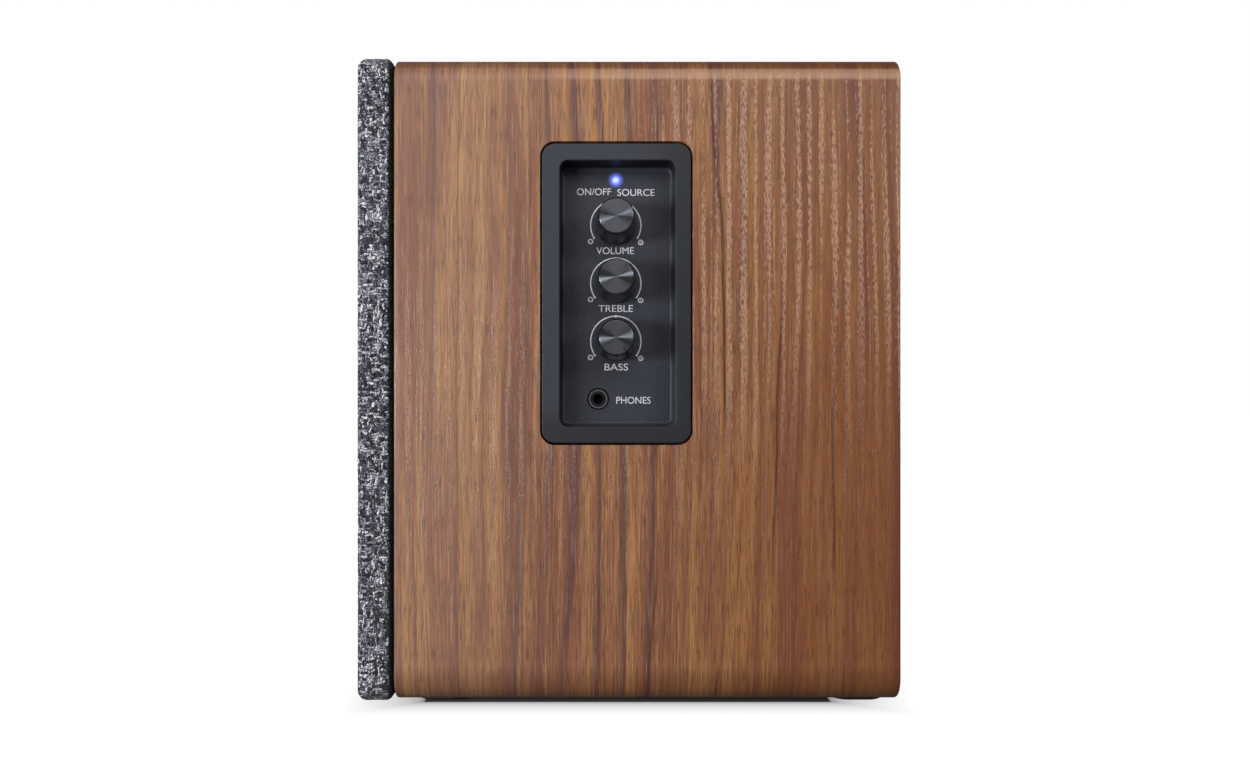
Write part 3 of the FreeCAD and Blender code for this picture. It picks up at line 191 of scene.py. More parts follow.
def walnut():
    """Walnut-grain vinyl, wrapped round the cabinet with its grain running up the sides and over
    the top. The inside of the cabinet and the recess at its back are painted black."""
    shade = Shade("walnut_vinyl")
    x, y, z = shade.split(shade.place())
    along = shade.math("SUBTRACT", z, x)
    flat = shade.join(y, along)
    front_rim, bottom = 1000*CABINET[0][1], 1000*CABINET[0][2]
    back_rim, top = 1000*CABINET[1][1], 1000*CABINET[1][2]
    inner_side = 1000*CABINET[1][0] - WALL_THICK
    inner_half = (top - bottom)/2 - WALL_THICK

    def grain(across_scale, along_scale, detail=2.0, roughness=0.5, shift=0.0, base=flat):
        """Noise drawn out along the grain. The scales are per millimetre."""
        stretch_and_edge_shade = shade.vector("MULTIPLY", base, (across_scale, along_scale, 1.0))
        moved = shade.vector("ADD", stretch_and_edge_shade, (shift, 2.3*shift, shift))
        return shade.noise(moved, 1.0, detail, roughness)

    def sway(amount, *scales):
        """A slow wander to either side of 0."""
        return shade.times(shade.plus(grain(*scales), -0.5), amount)

    across = shade.plus(y, shade.plus(sway(15.0, 0.012, 0.0040, 1.0, 0.5, 3.1),
                                      sway(2.4, 0.08, 0.014, 2.0, 0.5, 7.7)))
    bent = shade.join(across, along)

    # soft bands: tan, red-brown and gold, from a hand's breadth down to a few millimetres
    colour = shade.ramp(grain(0.045, 0.0022, 2.0, 0.6, 12.0, bent),
                        (0.34, tone("83523a")), (0.47, tone("916244")), (0.58, tone("a17044")),
                        (0.70, tone("9c7152")))
    stripe = grain(0.24, 0.006, 3.0, 0.6, 23.0, bent)
    colour = shade.mix(shade.fade(stripe, 0.46, 0.68, 0.0, 0.5), colour, tone("7c4d38"))
    colour = shade.mix(shade.fade(stripe, 0.54, 0.32, 0.0, 0.65), colour, tone("b78650"))

    # late-wood lines: each darkens slowly towards one side and ends there
    year = shade.math("FRACT", shade.plus(shade.times(across, 0.098),
                                          sway(2.2, 0.035, 0.0035, 2.0, 0.5, 31.0)))
    late = shade.times(shade.fade(year, 0.58, 0.88), shade.fade(year, 1.0, 0.90))
    heavy = shade.fade(grain(0.08, 0.003, 1.0, 0.5, 41.0, bent), 0.38, 0.60, 0.12, 0.9)
    colour = shade.mix(shade.times(late, heavy), colour, tone("58393a"))
    hair = shade.math("FRACT", shade.plus(shade.times(across, 0.19),
                                          sway(1.6, 0.07, 0.004, 2.0, 0.5, 51.0)))
    thin = shade.times(shade.fade(hair, 0.32, 0.47), shade.fade(hair, 0.54, 0.48))
    faint = shade.fade(grain(0.12, 0.006, 1.0, 0.5, 57.0), 0.4, 0.62, 0.0, 0.6)
    colour = shade.mix(shade.times(thin, faint), colour, tone("5f3e32"))

    # a few hair-thin, nearly black gum lines in the back half
    gum = shade.plus(shade.times(across, 0.047), sway(1.1, 0.02, 0.005, 2.0, 0.5, 63.0))
    beside = shade.math("ABSOLUTE", shade.plus(shade.math("FRACT", gum), -0.5))
    broken = shade.fade(grain(0.02, 0.012, 1.0, 0.5, 67.0), 0.42, 0.56)
    crack = shade.times(shade.fade(beside, 0.032, 0.010), broken)
    at_back = shade.fade(y, -20.0, 30.0, 0.2, 0.95)
    colour = shade.mix(shade.times(crack, at_back), colour, tone("361f22"))

    # fibres and short dark pores
    fibre = grain(1.6, 0.045, 3.0, 0.65, 61.0)
    colour = shade.mix(shade.fade(fibre, 0.46, 0.64, 0.0, 0.55), colour, tone("643f30"))
    colour = shade.mix(shade.fade(fibre, 0.47, 0.30, 0.0, 0.38), colour, tone("c09a78"))
    pores = shade.fade(grain(2.3, 0.13, 1.0, 0.4, 71.0), 0.57, 0.66)
    colour = shade.mix(shade.times(pores, 0.55), colour, tone("4c2f26"))

    # painted light: the cabinet's front half is painted greyer as a painted sheen from the light at the
    # left, and its back is painted deeper in colour as painted shade
    colour = shade.mix(shade.fade(y, -5.0, -70.0, 0.0, 0.18), colour, tone("9b8279"))
    colour = shade.mix(shade.fade(y, -20.0, 95.0, 0.0, 0.66), colour, tone("70391a"))

    # embossed lines, painted pale as a painted sheen where they catch the light, strongest high at the
    # back
    def lines(pitch, widest, missing, seed):
        """Ragged lines, one to a pitch. The more is missing, the more of each is left out."""
        lane = shade.plus(shade.times(across, 1.0/pitch), sway(1.0, 0.09, 0.004, 2.0, 0.5, seed))
        from_middle = shade.math("ABSOLUTE", shade.plus(shade.math("FRACT", lane), -0.5))
        presence = grain(0.14, 0.010, 2.0, 0.6, seed + 6.0)
        width = shade.fade(presence, missing, missing + 0.3, 0.0, widest)
        ragged = shade.times(shade.plus(grain(2.4, 0.32, 2.0, 0.7, seed + 10.0), -0.5), 0.68)
        return shade.fade(shade.math("SUBTRACT", shade.plus(width, ragged), from_middle), 0.0, 0.05)

    band = shade.math("MAXIMUM", lines(4.7, 0.22, 0.28, 81.0),
                      shade.times(lines(3.3, 0.14, 0.44, 113.0), 0.8))
    # painted sheen: the pale lines show most high up and towards the back
    painted_sheen_zone = shade.times(shade.fade(shade.plus(y, sway(30.0, 0.05, 0.01, 1.0, 0.5, 121.0)), -12.0, 20.0),
                       shade.fade(shade.plus(z, sway(90.0, 0.10, 0.004, 1.0, 0.5, 127.0)), 78.0, 165.0))
    painted_sheen_zone = shade.times(shade.plus(shade.times(painted_sheen_zone, 0.66), 0.05), shade.fade(z, top - 5.5, top - 8.0))
    grit = shade.fade(grain(2.6, 0.5, 2.0, 0.7, 97.0), 0.40, 0.58, 0.0, 1.0)
    vein = shade.times(band, grit)
    colour = shade.mix(shade.times(vein, painted_sheen_zone), colour, tone("c2977b"))

    # painted shade: the long rounded edges are painted darker, with a painted highlight line below the
    # upper one
    stretch_and_edge_shade = shade.math("MAXIMUM", shade.fade(z, top - 5.1, top - 3.8, 0.0, 0.38),
                           shade.fade(z, bottom + 14.5, bottom + 8.5, 0.0, 0.36))
    beyond_flat = shade.fade(shade.math("ABSOLUTE", x), inner_side - 2.0, inner_side + 2.0)
    colour = shade.mix(shade.times(stretch_and_edge_shade, beyond_flat), colour, tone("4a2208"))
    painted_highlight = shade.times(shade.fade(z, top - 9.6, top - 8.0), shade.fade(z, top - 4.5, top - 5.5))
    painted_highlight = shade.times(shade.times(painted_highlight, beyond_flat), shade.fade(y, -60.0, 10.0, 0.0, 0.36))
    colour = shade.mix(painted_highlight, colour, tone("cfa688"))

    # the cut edges of the board, at the back and behind the grille
    chips = shade.noise(shade.place(), 1.1, 3.0, 0.7)
    cut_edge = shade.math("MAXIMUM", shade.fade(y, back_rim - 0.5, back_rim - 0.2),
                          shade.fade(y, front_rim + 0.5, front_rim + 0.2))
    colour = shade.mix(cut_edge, colour, shade.mix(chips, tone("4a2f22"), tone("6b4733")))

    # painted black inside, and behind the rim at the back
    from_middle = shade.math("ABSOLUTE", shade.plus(z, -(top + bottom)/2))
    outside = shade.math("MAXIMUM", shade.plus(shade.math("ABSOLUTE", x), -inner_side - 0.05),
                         shade.plus(from_middle, -inner_half - 0.05))
    colour = shade.mix(shade.fade(outside, 0.0, 0.05), tone("19181a"), colour)

    height = shade.math("SUBTRACT", shade.times(fibre, 0.4), shade.plus(shade.times(pores, 0.5), vein))
    rough = shade.math("SUBTRACT", shade.plus(shade.times(fibre, 0.12), 0.30), shade.times(vein, 0.06))
    shade.set(Base_Color=colour, Roughness=rough, Normal=shade.bump(height, 0.00006, 0.7), IOR=1.45)
    return shade.material


def moulded(name, colour, roughness=0.5, grit=0.6, depth=0.00003):
    """Fine-textured moulded plastic or paint, a little uneven in colour and gloss."""
    shade = Shade(name)
    place = shade.place()
    fine = shade.noise(place, 2.6*grit, 2.0, 0.6)
    cloud = shade.noise(place, 0.05, 2.0, 0.5)
    dark = scaled(colour, 0.82)
    pale = scaled(colour, 1.22, 0.002)
    mixed = shade.mix(shade.fade(fine, 0.35, 0.68), dark, pale)
    shade.set(Base_Color=shade.mix(0.45, tone(colour), mixed),
              Roughness=shade.fade(cloud, 0.3, 0.7, roughness - 0.05, roughness + 0.06),
              Normal=shade.bump(fine, depth, 0.9))
    return shade.material


def metal(name, colour, roughness=0.3, lines=(0.3, 0.3, 8.0)):
    """Plated or bare metal with fine drawn lines along one axis."""
    shade = Shade(name)
    place = shade.place()
    drawn = shade.noise(shade.vector("MULTIPLY", place, lines), 1.0, 3.0, 0.6)
    stain = shade.noise(place, 0.12, 3.0, 0.6)
    dulled = shade.fade(stain, 0.4, 0.75, 0.0, 0.6)
    shade.set(Base_Color=shade.mix(dulled, tone(colour), scaled(colour, 0.7)), Metallic=1.0,
              Roughness=shade.fade(drawn, 0.3, 0.7, roughness - 0.08, roughness + 0.1),
              Normal=shade.bump(drawn, 0.00001, 0.6))
    return shade.material


def spun_metal(name, colour, middle):
    """Dark anodised metal turned on a lathe: rings about an axis along X."""
    shade = Shade(name)
    place = shade.vector("SUBTRACT", shade.place(), tuple(1000*value for value in middle))
    _, y, z = shade.split(place)
    reach = shade.vector("LENGTH", shade.join(0.0, y, z))
    rings = shade.noise(shade.join(shade.times(reach, 9.0), 0.0, 0.0), 1.0, 4.0, 0.7)
    tangent = shade.add("ShaderNodeTangent", direction_type="RADIAL", axis="X")
    shade.set(Base_Color=shade.mix(shade.fade(rings, 0.3, 0.7), tone("7a7d84"), tone(colour)),
              Metallic=1.0, Roughness=shade.fade(rings, 0.3, 0.7, 0.24, 0.32),
              Normal=shade.bump(rings, 0.000004, 0.4), Tangent=tangent.outputs[0])
    shade.set(Anisotropic=1.0, Anisotropic_Rotation=0.25)
    return shade.material


def tweed():
    """Coarse grey tweed: slubby pale and dark yarns that float over one another at random. The
    cloth's own coordinates are in its UV map, in units of 100 mm. Its hem, behind, is painted near black
    as painted shade in the gap to the cabinet."""
    shade = Shade("tweed_cloth")
    cloth = shade.vector("SCALE", shade.add("ShaderNodeTexCoord").outputs["UV"], scale=100.0)

    def stray(scale, shift):
        moved = shade.vector("ADD", cloth, (shift, 2.0*shift, shift))
        return shade.plus(shade.noise(moved, scale, 2.0, 0.5), -0.5)

    warp_pitch, weft_pitch, waver = 0.9, 1.0, 2.6
    a, b, _ = shade.split(cloth)
    across = shade.math("DIVIDE", shade.plus(a, shade.times(stray(0.5, 3.0), waver)), warp_pitch)
    up = shade.math("DIVIDE", shade.plus(b, shade.times(stray(0.5, 19.0), waver)), weft_pitch)
    column, row = shade.math("FLOOR", across), shade.math("FLOOR", up)
    in_a = shade.plus(shade.math("FRACT", across), -0.5)
    in_b = shade.plus(shade.math("FRACT", up), -0.5)
    over = shade.math("GREATER_THAN", shade.speck(shade.join(column, row, 4.0)), 0.5)

    def yarn(side, index, position, seed):
        """Height and shade of one set of yarns: side is across a yarn, position along it."""
        body = shade.fade(shade.math("ABSOLUTE", side), 0.52, 0.12)
        along = shade.join(shade.times(index, 7.31), shade.times(position, 0.7), seed)
        colour = shade.noise(along, 1.0, 2.0, 0.6)
        each = shade.speck(shade.join(index, shade.times(position, 0.37), seed))
        return body, shade.plus(shade.times(colour, 0.55), shade.times(each, 0.42))

    warp_height, warp_tone = yarn(in_a, column, up, 1.5)
    weft_height, weft_tone = yarn(in_b, row, across, 8.5)

    def choose(first, second):
        under = shade.math("SUBTRACT", 1.0, over)
        return shade.plus(shade.times(over, first), shade.times(under, second))

    height = choose(warp_height, weft_height)
    strand = stray(2.4, 43.0)
    level = shade.plus(choose(warp_tone, weft_tone), shade.times(strand, 0.7))
    colour = shade.ramp(level, (0.25, tone("16181d")), (0.41, tone("3d4049")), (0.56, tone("82858e")),
                        (0.75, tone("e4e5ea")))
    # painted shade: near black where the yarns dip below one another
    colour = shade.mix(shade.fade(shade.plus(height, shade.times(strand, 0.8)), 0.60, 0.05), colour,
                       tone("08090c"))
    _, y, _ = shade.split(shade.place())
    back = 1000*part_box("grille_cloth")[1][1]
    # painted shade: the back of the cloth's side and its hem, in the gap to the cabinet, are painted
    # near black
    hem = shade.fade(y, back - 1.5, back - 0.7)
    shade.set(Base_Color=shade.mix(hem, colour, tone("060607")), Roughness=0.95,
              Normal=shade.bump(shade.plus(height, shade.times(strand, 0.6)), 0.0004, 0.9))
    shade.set(Sheen_Weight=0.12, Sheen_Roughness=0.6, Specular_IOR_Level=0.1)
    return shade.material


def glowing_lens():
    """The status light's lens: nearly white in the middle, blue at its rim."""
    shade = Shade("status_lens")
    reach = from_light(shade)
    glow = shade.ramp(shade.fade(reach, 0.3, 1.5), (0.0, tone("c9d6ff")), (0.5, tone("adbdff")),
                      (1.0, tone("7488f2")))
    shade.set(Base_Color=tone("5a66a0"), Roughness=0.25, Emission_Color=glow)
    shade.set(Emission_Strength=1.05)
    return shade.material


def from_light(shade):
    """Distance in millimetres from the status light's middle, across the tray's floor."""
    low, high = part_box("power_led")
    middle = (0.0, 500*(low[1] + high[1]), 500*(low[2] + high[2]))
    _, y, z = shade.split(shade.vector("SUBTRACT", shade.place(), middle))
    return shade.vector("LENGTH", shade.join(0.0, y, z))


def tray_plastic():
    """Dark grey moulding with a fine spark-eroded texture. Round the status light a painted pool of its
    blue light glows on the floor of the recess, and the recess's upper and front walls and the rim carry
    painted shade."""
    shade = Shade("tray_plastic")
    place = shade.place()
    fine = shade.noise(place, 3.4, 2.0, 0.7)
    cloud = shade.noise(place, 0.06, 2.0, 0.5)
    base = shade.mix(shade.fade(fine, 0.38, 0.66), tone("1d2129"), tone("313741"))
    base = shade.mix(shade.fade(cloud, 0.35, 0.7, 0.0, 0.25), base, tone("20242b"))
    x, y, z = shade.split(place)
    floor, mouth = 1000*FLOOR_X, 1000*SIDE_X
    wall = shade.times(shade.fade(x, floor + 0.9, floor + 1.8), shade.fade(x, mouth - 0.9, mouth - 1.6))

    # painted shadow: its upper and front walls are painted near black, and the rim is painted darker
    # towards its back and its foot as painted shade
    upper_wall, front_wall = shade.fade(z, 190.0, 193.0), shade.fade(y, -19.0, -21.0)
    painted_wall_shadow = shade.math("MAXIMUM", upper_wall, front_wall)
    base = shade.mix(shade.times(shade.times(wall, painted_wall_shadow), 0.97), base, tone("020203"))
    rim = shade.fade(x, mouth - 0.9, mouth - 0.6)
    back_rim, foot_rim = shade.fade(y, 0.0, 24.0, 0.0, 0.85), shade.fade(z, 112.0, 99.0, 0.0, 0.75)
    painted_rim_shade = shade.math("MAXIMUM", back_rim, foot_rim)
    base = shade.mix(shade.times(rim, painted_rim_shade), base, tone("08090b"))
    # painted pool of light: the floor round the status light glows blue
    painted_light_pool = shade.times(shade.math("POWER", shade.fade(from_light(shade), 4.1, 1.0), 2.6),
                       shade.fade(x, floor + 0.6, floor + 0.2))
    glow = shade.mix(painted_light_pool, (0.0, 0.0, 0.0, 1.0), tone("6474ee"))
    shade.set(Base_Color=base, Roughness=shade.fade(fine, 0.3, 0.7, 0.50, 0.62),
              Normal=shade.bump(fine, 0.00004, 0.8), Emission_Color=glow)
    shade.set(Emission_Strength=1.3)
    return shade.material


def cone_paper():
    """Pressed paper pulp: short tangled fibres under a thin dark coat."""
    shade = Shade("cone_paper")
    place = shade.place()
    fibres = shade.noise(place, 1.8, 4.0, 0.75)
    blotch = shade.noise(place, 0.22, 3.0, 0.6)
    colour = shade.mix(shade.fade(fibres, 0.35, 0.7), tone("17181a"), tone("313236"))
    colour = shade.mix(shade.fade(blotch, 0.45, 0.7, 0.0, 0.4), colour, tone("1e1f22"))
    shade.set(Base_Color=colour, Roughness=shade.fade(fibres, 0.3, 0.7, 0.55, 0.8),
              Normal=shade.bump(fibres, 0.00012, 0.8))
    return shade.material


def circuit_board():
    """Green board with paler squares where copper lies under its lacquer."""
    shade = Shade("circuit_board")
    place = shade.place()
    cells = shade.vector("SCALE", place, scale=0.9)
    track = shade.math("GREATER_THAN", shade.speck(cells), 0.72)
    weave = shade.noise(place, 1.5, 2.0)
    colour = shade.mix(shade.fade(weave, 0.3, 0.7), tone("0f4a26"), tone("17633a"))
    colour = shade.mix(shade.times(track, 0.7), colour, tone("2c8a54"))
    shade.set(Base_Color=colour, Roughness=shade.fade(weave, 0.3, 0.7, 0.3, 0.45),
              Normal=shade.bump(track, 0.00003, 0.6))
    return shade.material


def soft_fibre(name, pale, dark, scale=0.9):
    """Matted soft fibres, of wadding, of resin-stiffened cloth or of silk."""
    shade = Shade(name)
    place = shade.place()
    fluff = shade.noise(place, scale, 5.0, 0.75)
    shade.set(Base_Color=shade.mix(shade.fade(fluff, 0.35, 0.68), tone(dark), tone(pale)),
              Roughness=0.95, Normal=shade.bump(fluff, 0.0006, 0.9))
    shade.set(Sheen_Weight=0.3)
    return shade.material


def socket_block():
    """Four phono sockets on a black block: nickel barrels, with a white or a red insulator in each
    and a dark bore. Red marks the right-hand channel."""
    shade = Shade("phono_sockets")
    place = shade.place()
    x, y, z = shade.split(place)
    low, high = (Vector(corner)*1000 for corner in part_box("rca_inputs"))
    across, up = (low.x + high.x)/2, (low.z + high.z)/2
    pitch, barrel_long, insulator_radius, bore_radius = 15.0, 9.0, 3.0, 1.7
    from_column = shade.plus(shade.math("ABSOLUTE", shade.plus(x, -across)), -pitch/2)
    from_row = shade.plus(shade.math("ABSOLUTE", shade.plus(z, -up)), -pitch/2)
    reach = shade.vector("LENGTH", shade.join(from_column, from_row, 0.0))
    fine = shade.noise(place, 2.0, 2.0, 0.6)
    barrel = shade.fade(y, high.y - barrel_long - 0.2, high.y - barrel_long)
    rim = shade.fade(reach, insulator_radius - 0.05, insulator_radius + 0.05)
    bore = shade.fade(reach, bore_radius + 0.05, bore_radius - 0.05)
    right_hand = shade.fade(x, across + 0.1, across - 0.1)
    insulator = shade.mix(right_hand, tone("e2e0da"), tone("b3201c"))
    colour = shade.mix(rim, insulator, tone("c4c2ba"))
    colour = shade.mix(bore, colour, tone("17171a"))
    colour = shade.mix(barrel, shade.mix(fine, tone("141518"), tone("222327")), colour)
    metal_part = shade.times(barrel, rim)
    shade.set(Base_Color=colour, Metallic=metal_part,
              Roughness=shade.fade(fine, 0.3, 0.7, 0.24, 0.36), Normal=shade.bump(fine, 0.00001, 0.6))
    return shade.material


def inlet_plastic():
    """The mains inlet: gloss black round two plated pins."""
    shade = Shade("inlet_plastic")
    place = shade.place()
    x, y, z = shade.split(place)
    low, high = (Vector(corner)*1000 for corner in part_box("mains_inlet"))
    pin_long, pin_radius, from_middle = 13.0, 1.3, 4.3
    sideways = shade.plus(shade.math("ABSOLUTE", shade.plus(x, -(low.x + high.x)/2)), -from_middle)
    upward = shade.plus(z, -(low.z + high.z)/2)
    reach = shade.vector("LENGTH", shade.join(sideways, upward, 0.0))
    inside = shade.times(shade.fade(y, high.y - 0.6, high.y - 1.0),
                         shade.fade(y, high.y - pin_long - 0.9, high.y - pin_long - 0.7))
    pin = shade.times(shade.fade(reach, pin_radius + 0.05, pin_radius - 0.05), inside)
    fine = shade.noise(place, 1.4, 2.0, 0.6)
    black = shade.mix(fine, tone("0c0d0f"), tone("16171a"))
    shade.set(Base_Color=shade.mix(pin, black, tone("c9c6bd")), Metallic=pin,
              Roughness=shade.fade(fine, 0.3, 0.7, 0.2, 0.3), Normal=shade.bump(fine, 0.00001, 0.6))
    return shade.material


def jack_plastic():
    """The headphone socket's moulding: a pale satin ring round its rim, a painted highlight on its edge,
    gloss black inside.
    """
    shade = Shade("jack_plastic")
    place = shade.place()
    low, high = (Vector(corner)*1000 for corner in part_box("headphone_jack"))
    _, y, z = shade.split(place)
    reach = shade.vector("LENGTH", shade.join(0.0, shade.plus(y, -(low.y + high.y)/2),
                                              shade.plus(z, -(low.z + high.z)/2)))
    ring_inner, ring_outer = 2.9, 3.45
    # painted highlight: a pale ring round the socket's rim
    rim = shade.times(shade.fade(reach, ring_inner, ring_inner + 0.15),
                      shade.fade(reach, ring_outer, ring_outer - 0.1))
    fine = shade.noise(place, 2.2, 2.0, 0.6)
    black = shade.mix(fine, tone("08080a"), tone("131417"))
    shade.set(Base_Color=shade.mix(rim, black, tone("6a6d73")), Metallic=shade.times(rim, 0.5),
              Roughness=shade.fade(fine, 0.3, 0.7, 0.3, 0.42), Normal=shade.bump(fine, 0.00001, 0.6))
    return shade.material


def printed_ink():
    """Screen-printed white ink, thin enough to let the texture under it show."""
    shade = Shade("printed_ink")
    fine = shade.noise(shade.place(), 3.4, 2.0, 0.7)
    shade.set(Base_Color=shade.mix(shade.fade(fine, 0.3, 0.7), tone("b9bcc3"), tone("dfe1e6")),
              Roughness=0.6, Normal=shade.bump(fine, 0.00002, 0.6))
    return shade.material


def paint(node, material):
    """Gives a CAD node one material."""
    slots = NODES[node].data.materials
    slots.clear()
    slots.append(material)


# ---------------------------------------------------------------- places read from the frame

SIDE_X = CABINET[1][0]
LED_PROUD = 0.7*MM      # the status light stands this far out of the tray's floor
FLOOR_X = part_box("power_led")[1][0] - LED_PROUD
KNOB_MIDDLES = {word: sum((Vector(corner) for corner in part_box(f"{word}_knob_cap")), Vector())/2
                for word in ("volume", "treble", "bass")}


# ---------------------------------------------------------------- mesh helpers

def new_piece(name, mesh, material, body):
    """A visible piece, riding on a body."""
    piece = bpy.data.objects.new(name, mesh)
    bpy.context.scene.collection.objects.link(piece)
    mesh.materials.append(material)
    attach(piece, body)
    return piece


def mesh_from(name, points, faces):
    """A flat-shaded mesh."""
    mesh = bpy.data.meshes.new(name)
    mesh.from_pydata([tuple(point) for point in points], [], faces)
    mesh.update()
    return mesh


# ---------------------------------------------------------------- grille cloth

def grille_cloth():
    """The cloth, pulled over the frame's front and sides and glued down behind. It starts as a flat
    grid. A point outside the flat face is carried round the front edge, along the side, round the
    back edge and in along the back, as far as it lies from the face."""
    low, high = (Vector(corner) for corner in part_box("grille_cloth"))
    corner, front_round, back_round, hem, spacing = 4.5*MM, 3.4*MM, 2.5*MM, 4.5*MM, 0.76*MM
    slub = 0.22*MM
    centre_z = (high.z + low.z)/2
    front, back = low.y, high.y
    arc_front, arc_back = front_round*math.pi/2, back_round*math.pi/2
    side = (back - back_round) - (front + front_round)
    reach = arc_front + side + arc_back + hem - back_round
    face_corner = corner - front_round
    core = Vector(((high.x - low.x)/2 - corner, (high.z - low.z)/2 - corner))

    def section(distance):
        """How far out of the face's own outline, and how deep, a point this far round the edge is."""
        if distance < arc_front:
            turn = distance/front_round
            return front_round*math.sin(turn), front + front_round*(1 - math.cos(turn))
        distance -= arc_front
        if distance < side:
            return front_round, front + front_round + distance
        distance -= side
        if distance < arc_back:
            turn = distance/back_round
            return (front_round - back_round*(1 - math.cos(turn)),
                    back - back_round*(1 - math.sin(turn)))
        return front_round - back_round - (distance - arc_back), back

    def fold(u, v):
        """Where a point of the flat cloth ends up, and how far beyond the hem's edge it lies."""
        over = Vector((max(abs(u) - core.x, 0.0), max(abs(v) - core.y, 0.0)))
        distance = over.length - face_corner
        if distance <= 0:
            return Vector((u, front, centre_z + v)), distance - reach
        outward = over.normalized()
        out, depth = section(min(distance, reach))
        x = min(abs(u), core.x) + outward.x*(face_corner + out)
        z = min(abs(v), core.y) + outward.y*(face_corner + out)
        return Vector((math.copysign(x, u), depth, centre_z + math.copysign(z, v))), distance - reach

    half = core + Vector((face_corner + reach, face_corner + reach))
    columns, rows = (round(2*length/spacing) for length in half)
    work = bmesh.new()
    layer = work.loops.layers.uv.new("UVMap")
    grid = []
    for j in range(rows + 1):
        v = half.y*(2*j/rows - 1)
        line = []
        for i in range(columns + 1):
            u = half.x*(2*i/columns - 1)
            place, beyond = fold(u, v)
            line.append((work.verts.new(place), beyond, (u*10, v*10)))
        grid.append(line)
    for j in range(rows):
        for i in range(columns):
            around = (grid[j][i], grid[j][i + 1], grid[j + 1][i + 1], grid[j + 1][i])
            if min(beyond for _, beyond, _ in around) < 0:
                face = work.faces.new([vert for vert, _, _ in around])
                for loop, (_, _, uv) in zip(face.loops, around):
                    loop[layer].uv = uv
    bmesh.ops.delete(work, geom=[vert for vert in work.verts if not vert.link_faces], context="VERTS")
    work.normal_update()
    for vert in work.verts:
        lump = 0.5 + 0.5*noise.noise(vert.co/(1.9*MM))
        vert.co -= vert.normal*slub*lump
    mesh = bpy.data.meshes.new("grille_cloth_tweed")
    work.to_mesh(mesh)
    work.free()
    for face in mesh.polygons:
        face.use_smooth = True
    piece = new_piece("grille_cloth_tweed", mesh, tweed(), "grille")
    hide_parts("grille_cloth")


# ---------------------------------------------------------------- printed legends

INK_PROUD = 0.03*MM
INDEX_PROFILE = ((4.2*MM, 0.14*MM), (4.6*MM, 0.25*MM), (5.75*MM, 0.28*MM))     # reach, half width


def legend(name, words, across, up, size, ink, face, rear=False, width=None):
    """Printed words centred at (across, up) on a wall that faces +X, or +Y at the rear. A width
    condenses or stretches them to fit it."""
    curve = bpy.data.curves.new(name, "FONT")
    curve.body = words
    curve.size = size
    curve.align_x = "CENTER"
    curve.align_y = "CENTER"
    curve.extrude = INK_PROUD/2
    text = bpy.data.objects.new(name, curve)
    bpy.context.scene.collection.objects.link(text)
    bpy.context.view_layer.update()
    mesh = bpy.data.meshes.new_from_object(text.evaluated_get(bpy.context.evaluated_depsgraph_get()))
    bpy.data.objects.remove(text)
    along = [vert.co.x for vert in mesh.vertices]
    stretch = width/(max(along) - min(along)) if width else 1.0
    for vert in mesh.vertices:
        right, above, out = vert.co
        if rear:
            vert.co = (across - right*stretch, face + out, up + above)
        else:
            vert.co = (face + out, across + right*stretch, up + above)
    mesh.name = name
    mesh.materials.clear()
    return new_piece(name, mesh, ink, "cabinet")


def ring_print(name, middle, radius, line, first, last, ink, dots=(), steps=64):
    """A printed arc on the tray's floor, from first to last degrees clockwise from the top, with
    round dots of the given sizes on it."""
    points, faces = [], []

    def spot(distance, degrees, out):
        turn = math.radians(degrees)
        return (FLOOR_X + out, middle[0] + distance*math.sin(turn), middle[1] + distance*math.cos(turn))

    for step in range(steps + 1):
        degrees = first + (last - first)*step/steps
        for out in (0, INK_PROUD):
            for distance in (radius - line/2, radius + line/2):
                points.append(spot(distance, degrees, out))
    for step in range(steps):
        base = 4*step
        for a, b in ((0, 1), (1, 3), (3, 2), (2, 0)):
            faces.append((base + a, base + b, base + b + 4, base + a + 4))
    if abs(last - first) < 360:
        faces.append((0, 2, 3, 1))
        end = 4*steps
        faces.append((end, end + 1, end + 3, end + 2))
    sides = 20
    for degrees, size in dots:
        centre = Vector(spot(radius, degrees, INK_PROUD*1.2))
        start = len(points)
        points += [centre + Vector((0, size*math.cos(turn), size*math.sin(turn)))
                   for turn in (2*math.pi*step/sides for step in range(sides))]
        faces.append(tuple(range(start, start + sides)))
    return new_piece(name, mesh_from(name, points, faces), ink, "cabinet")


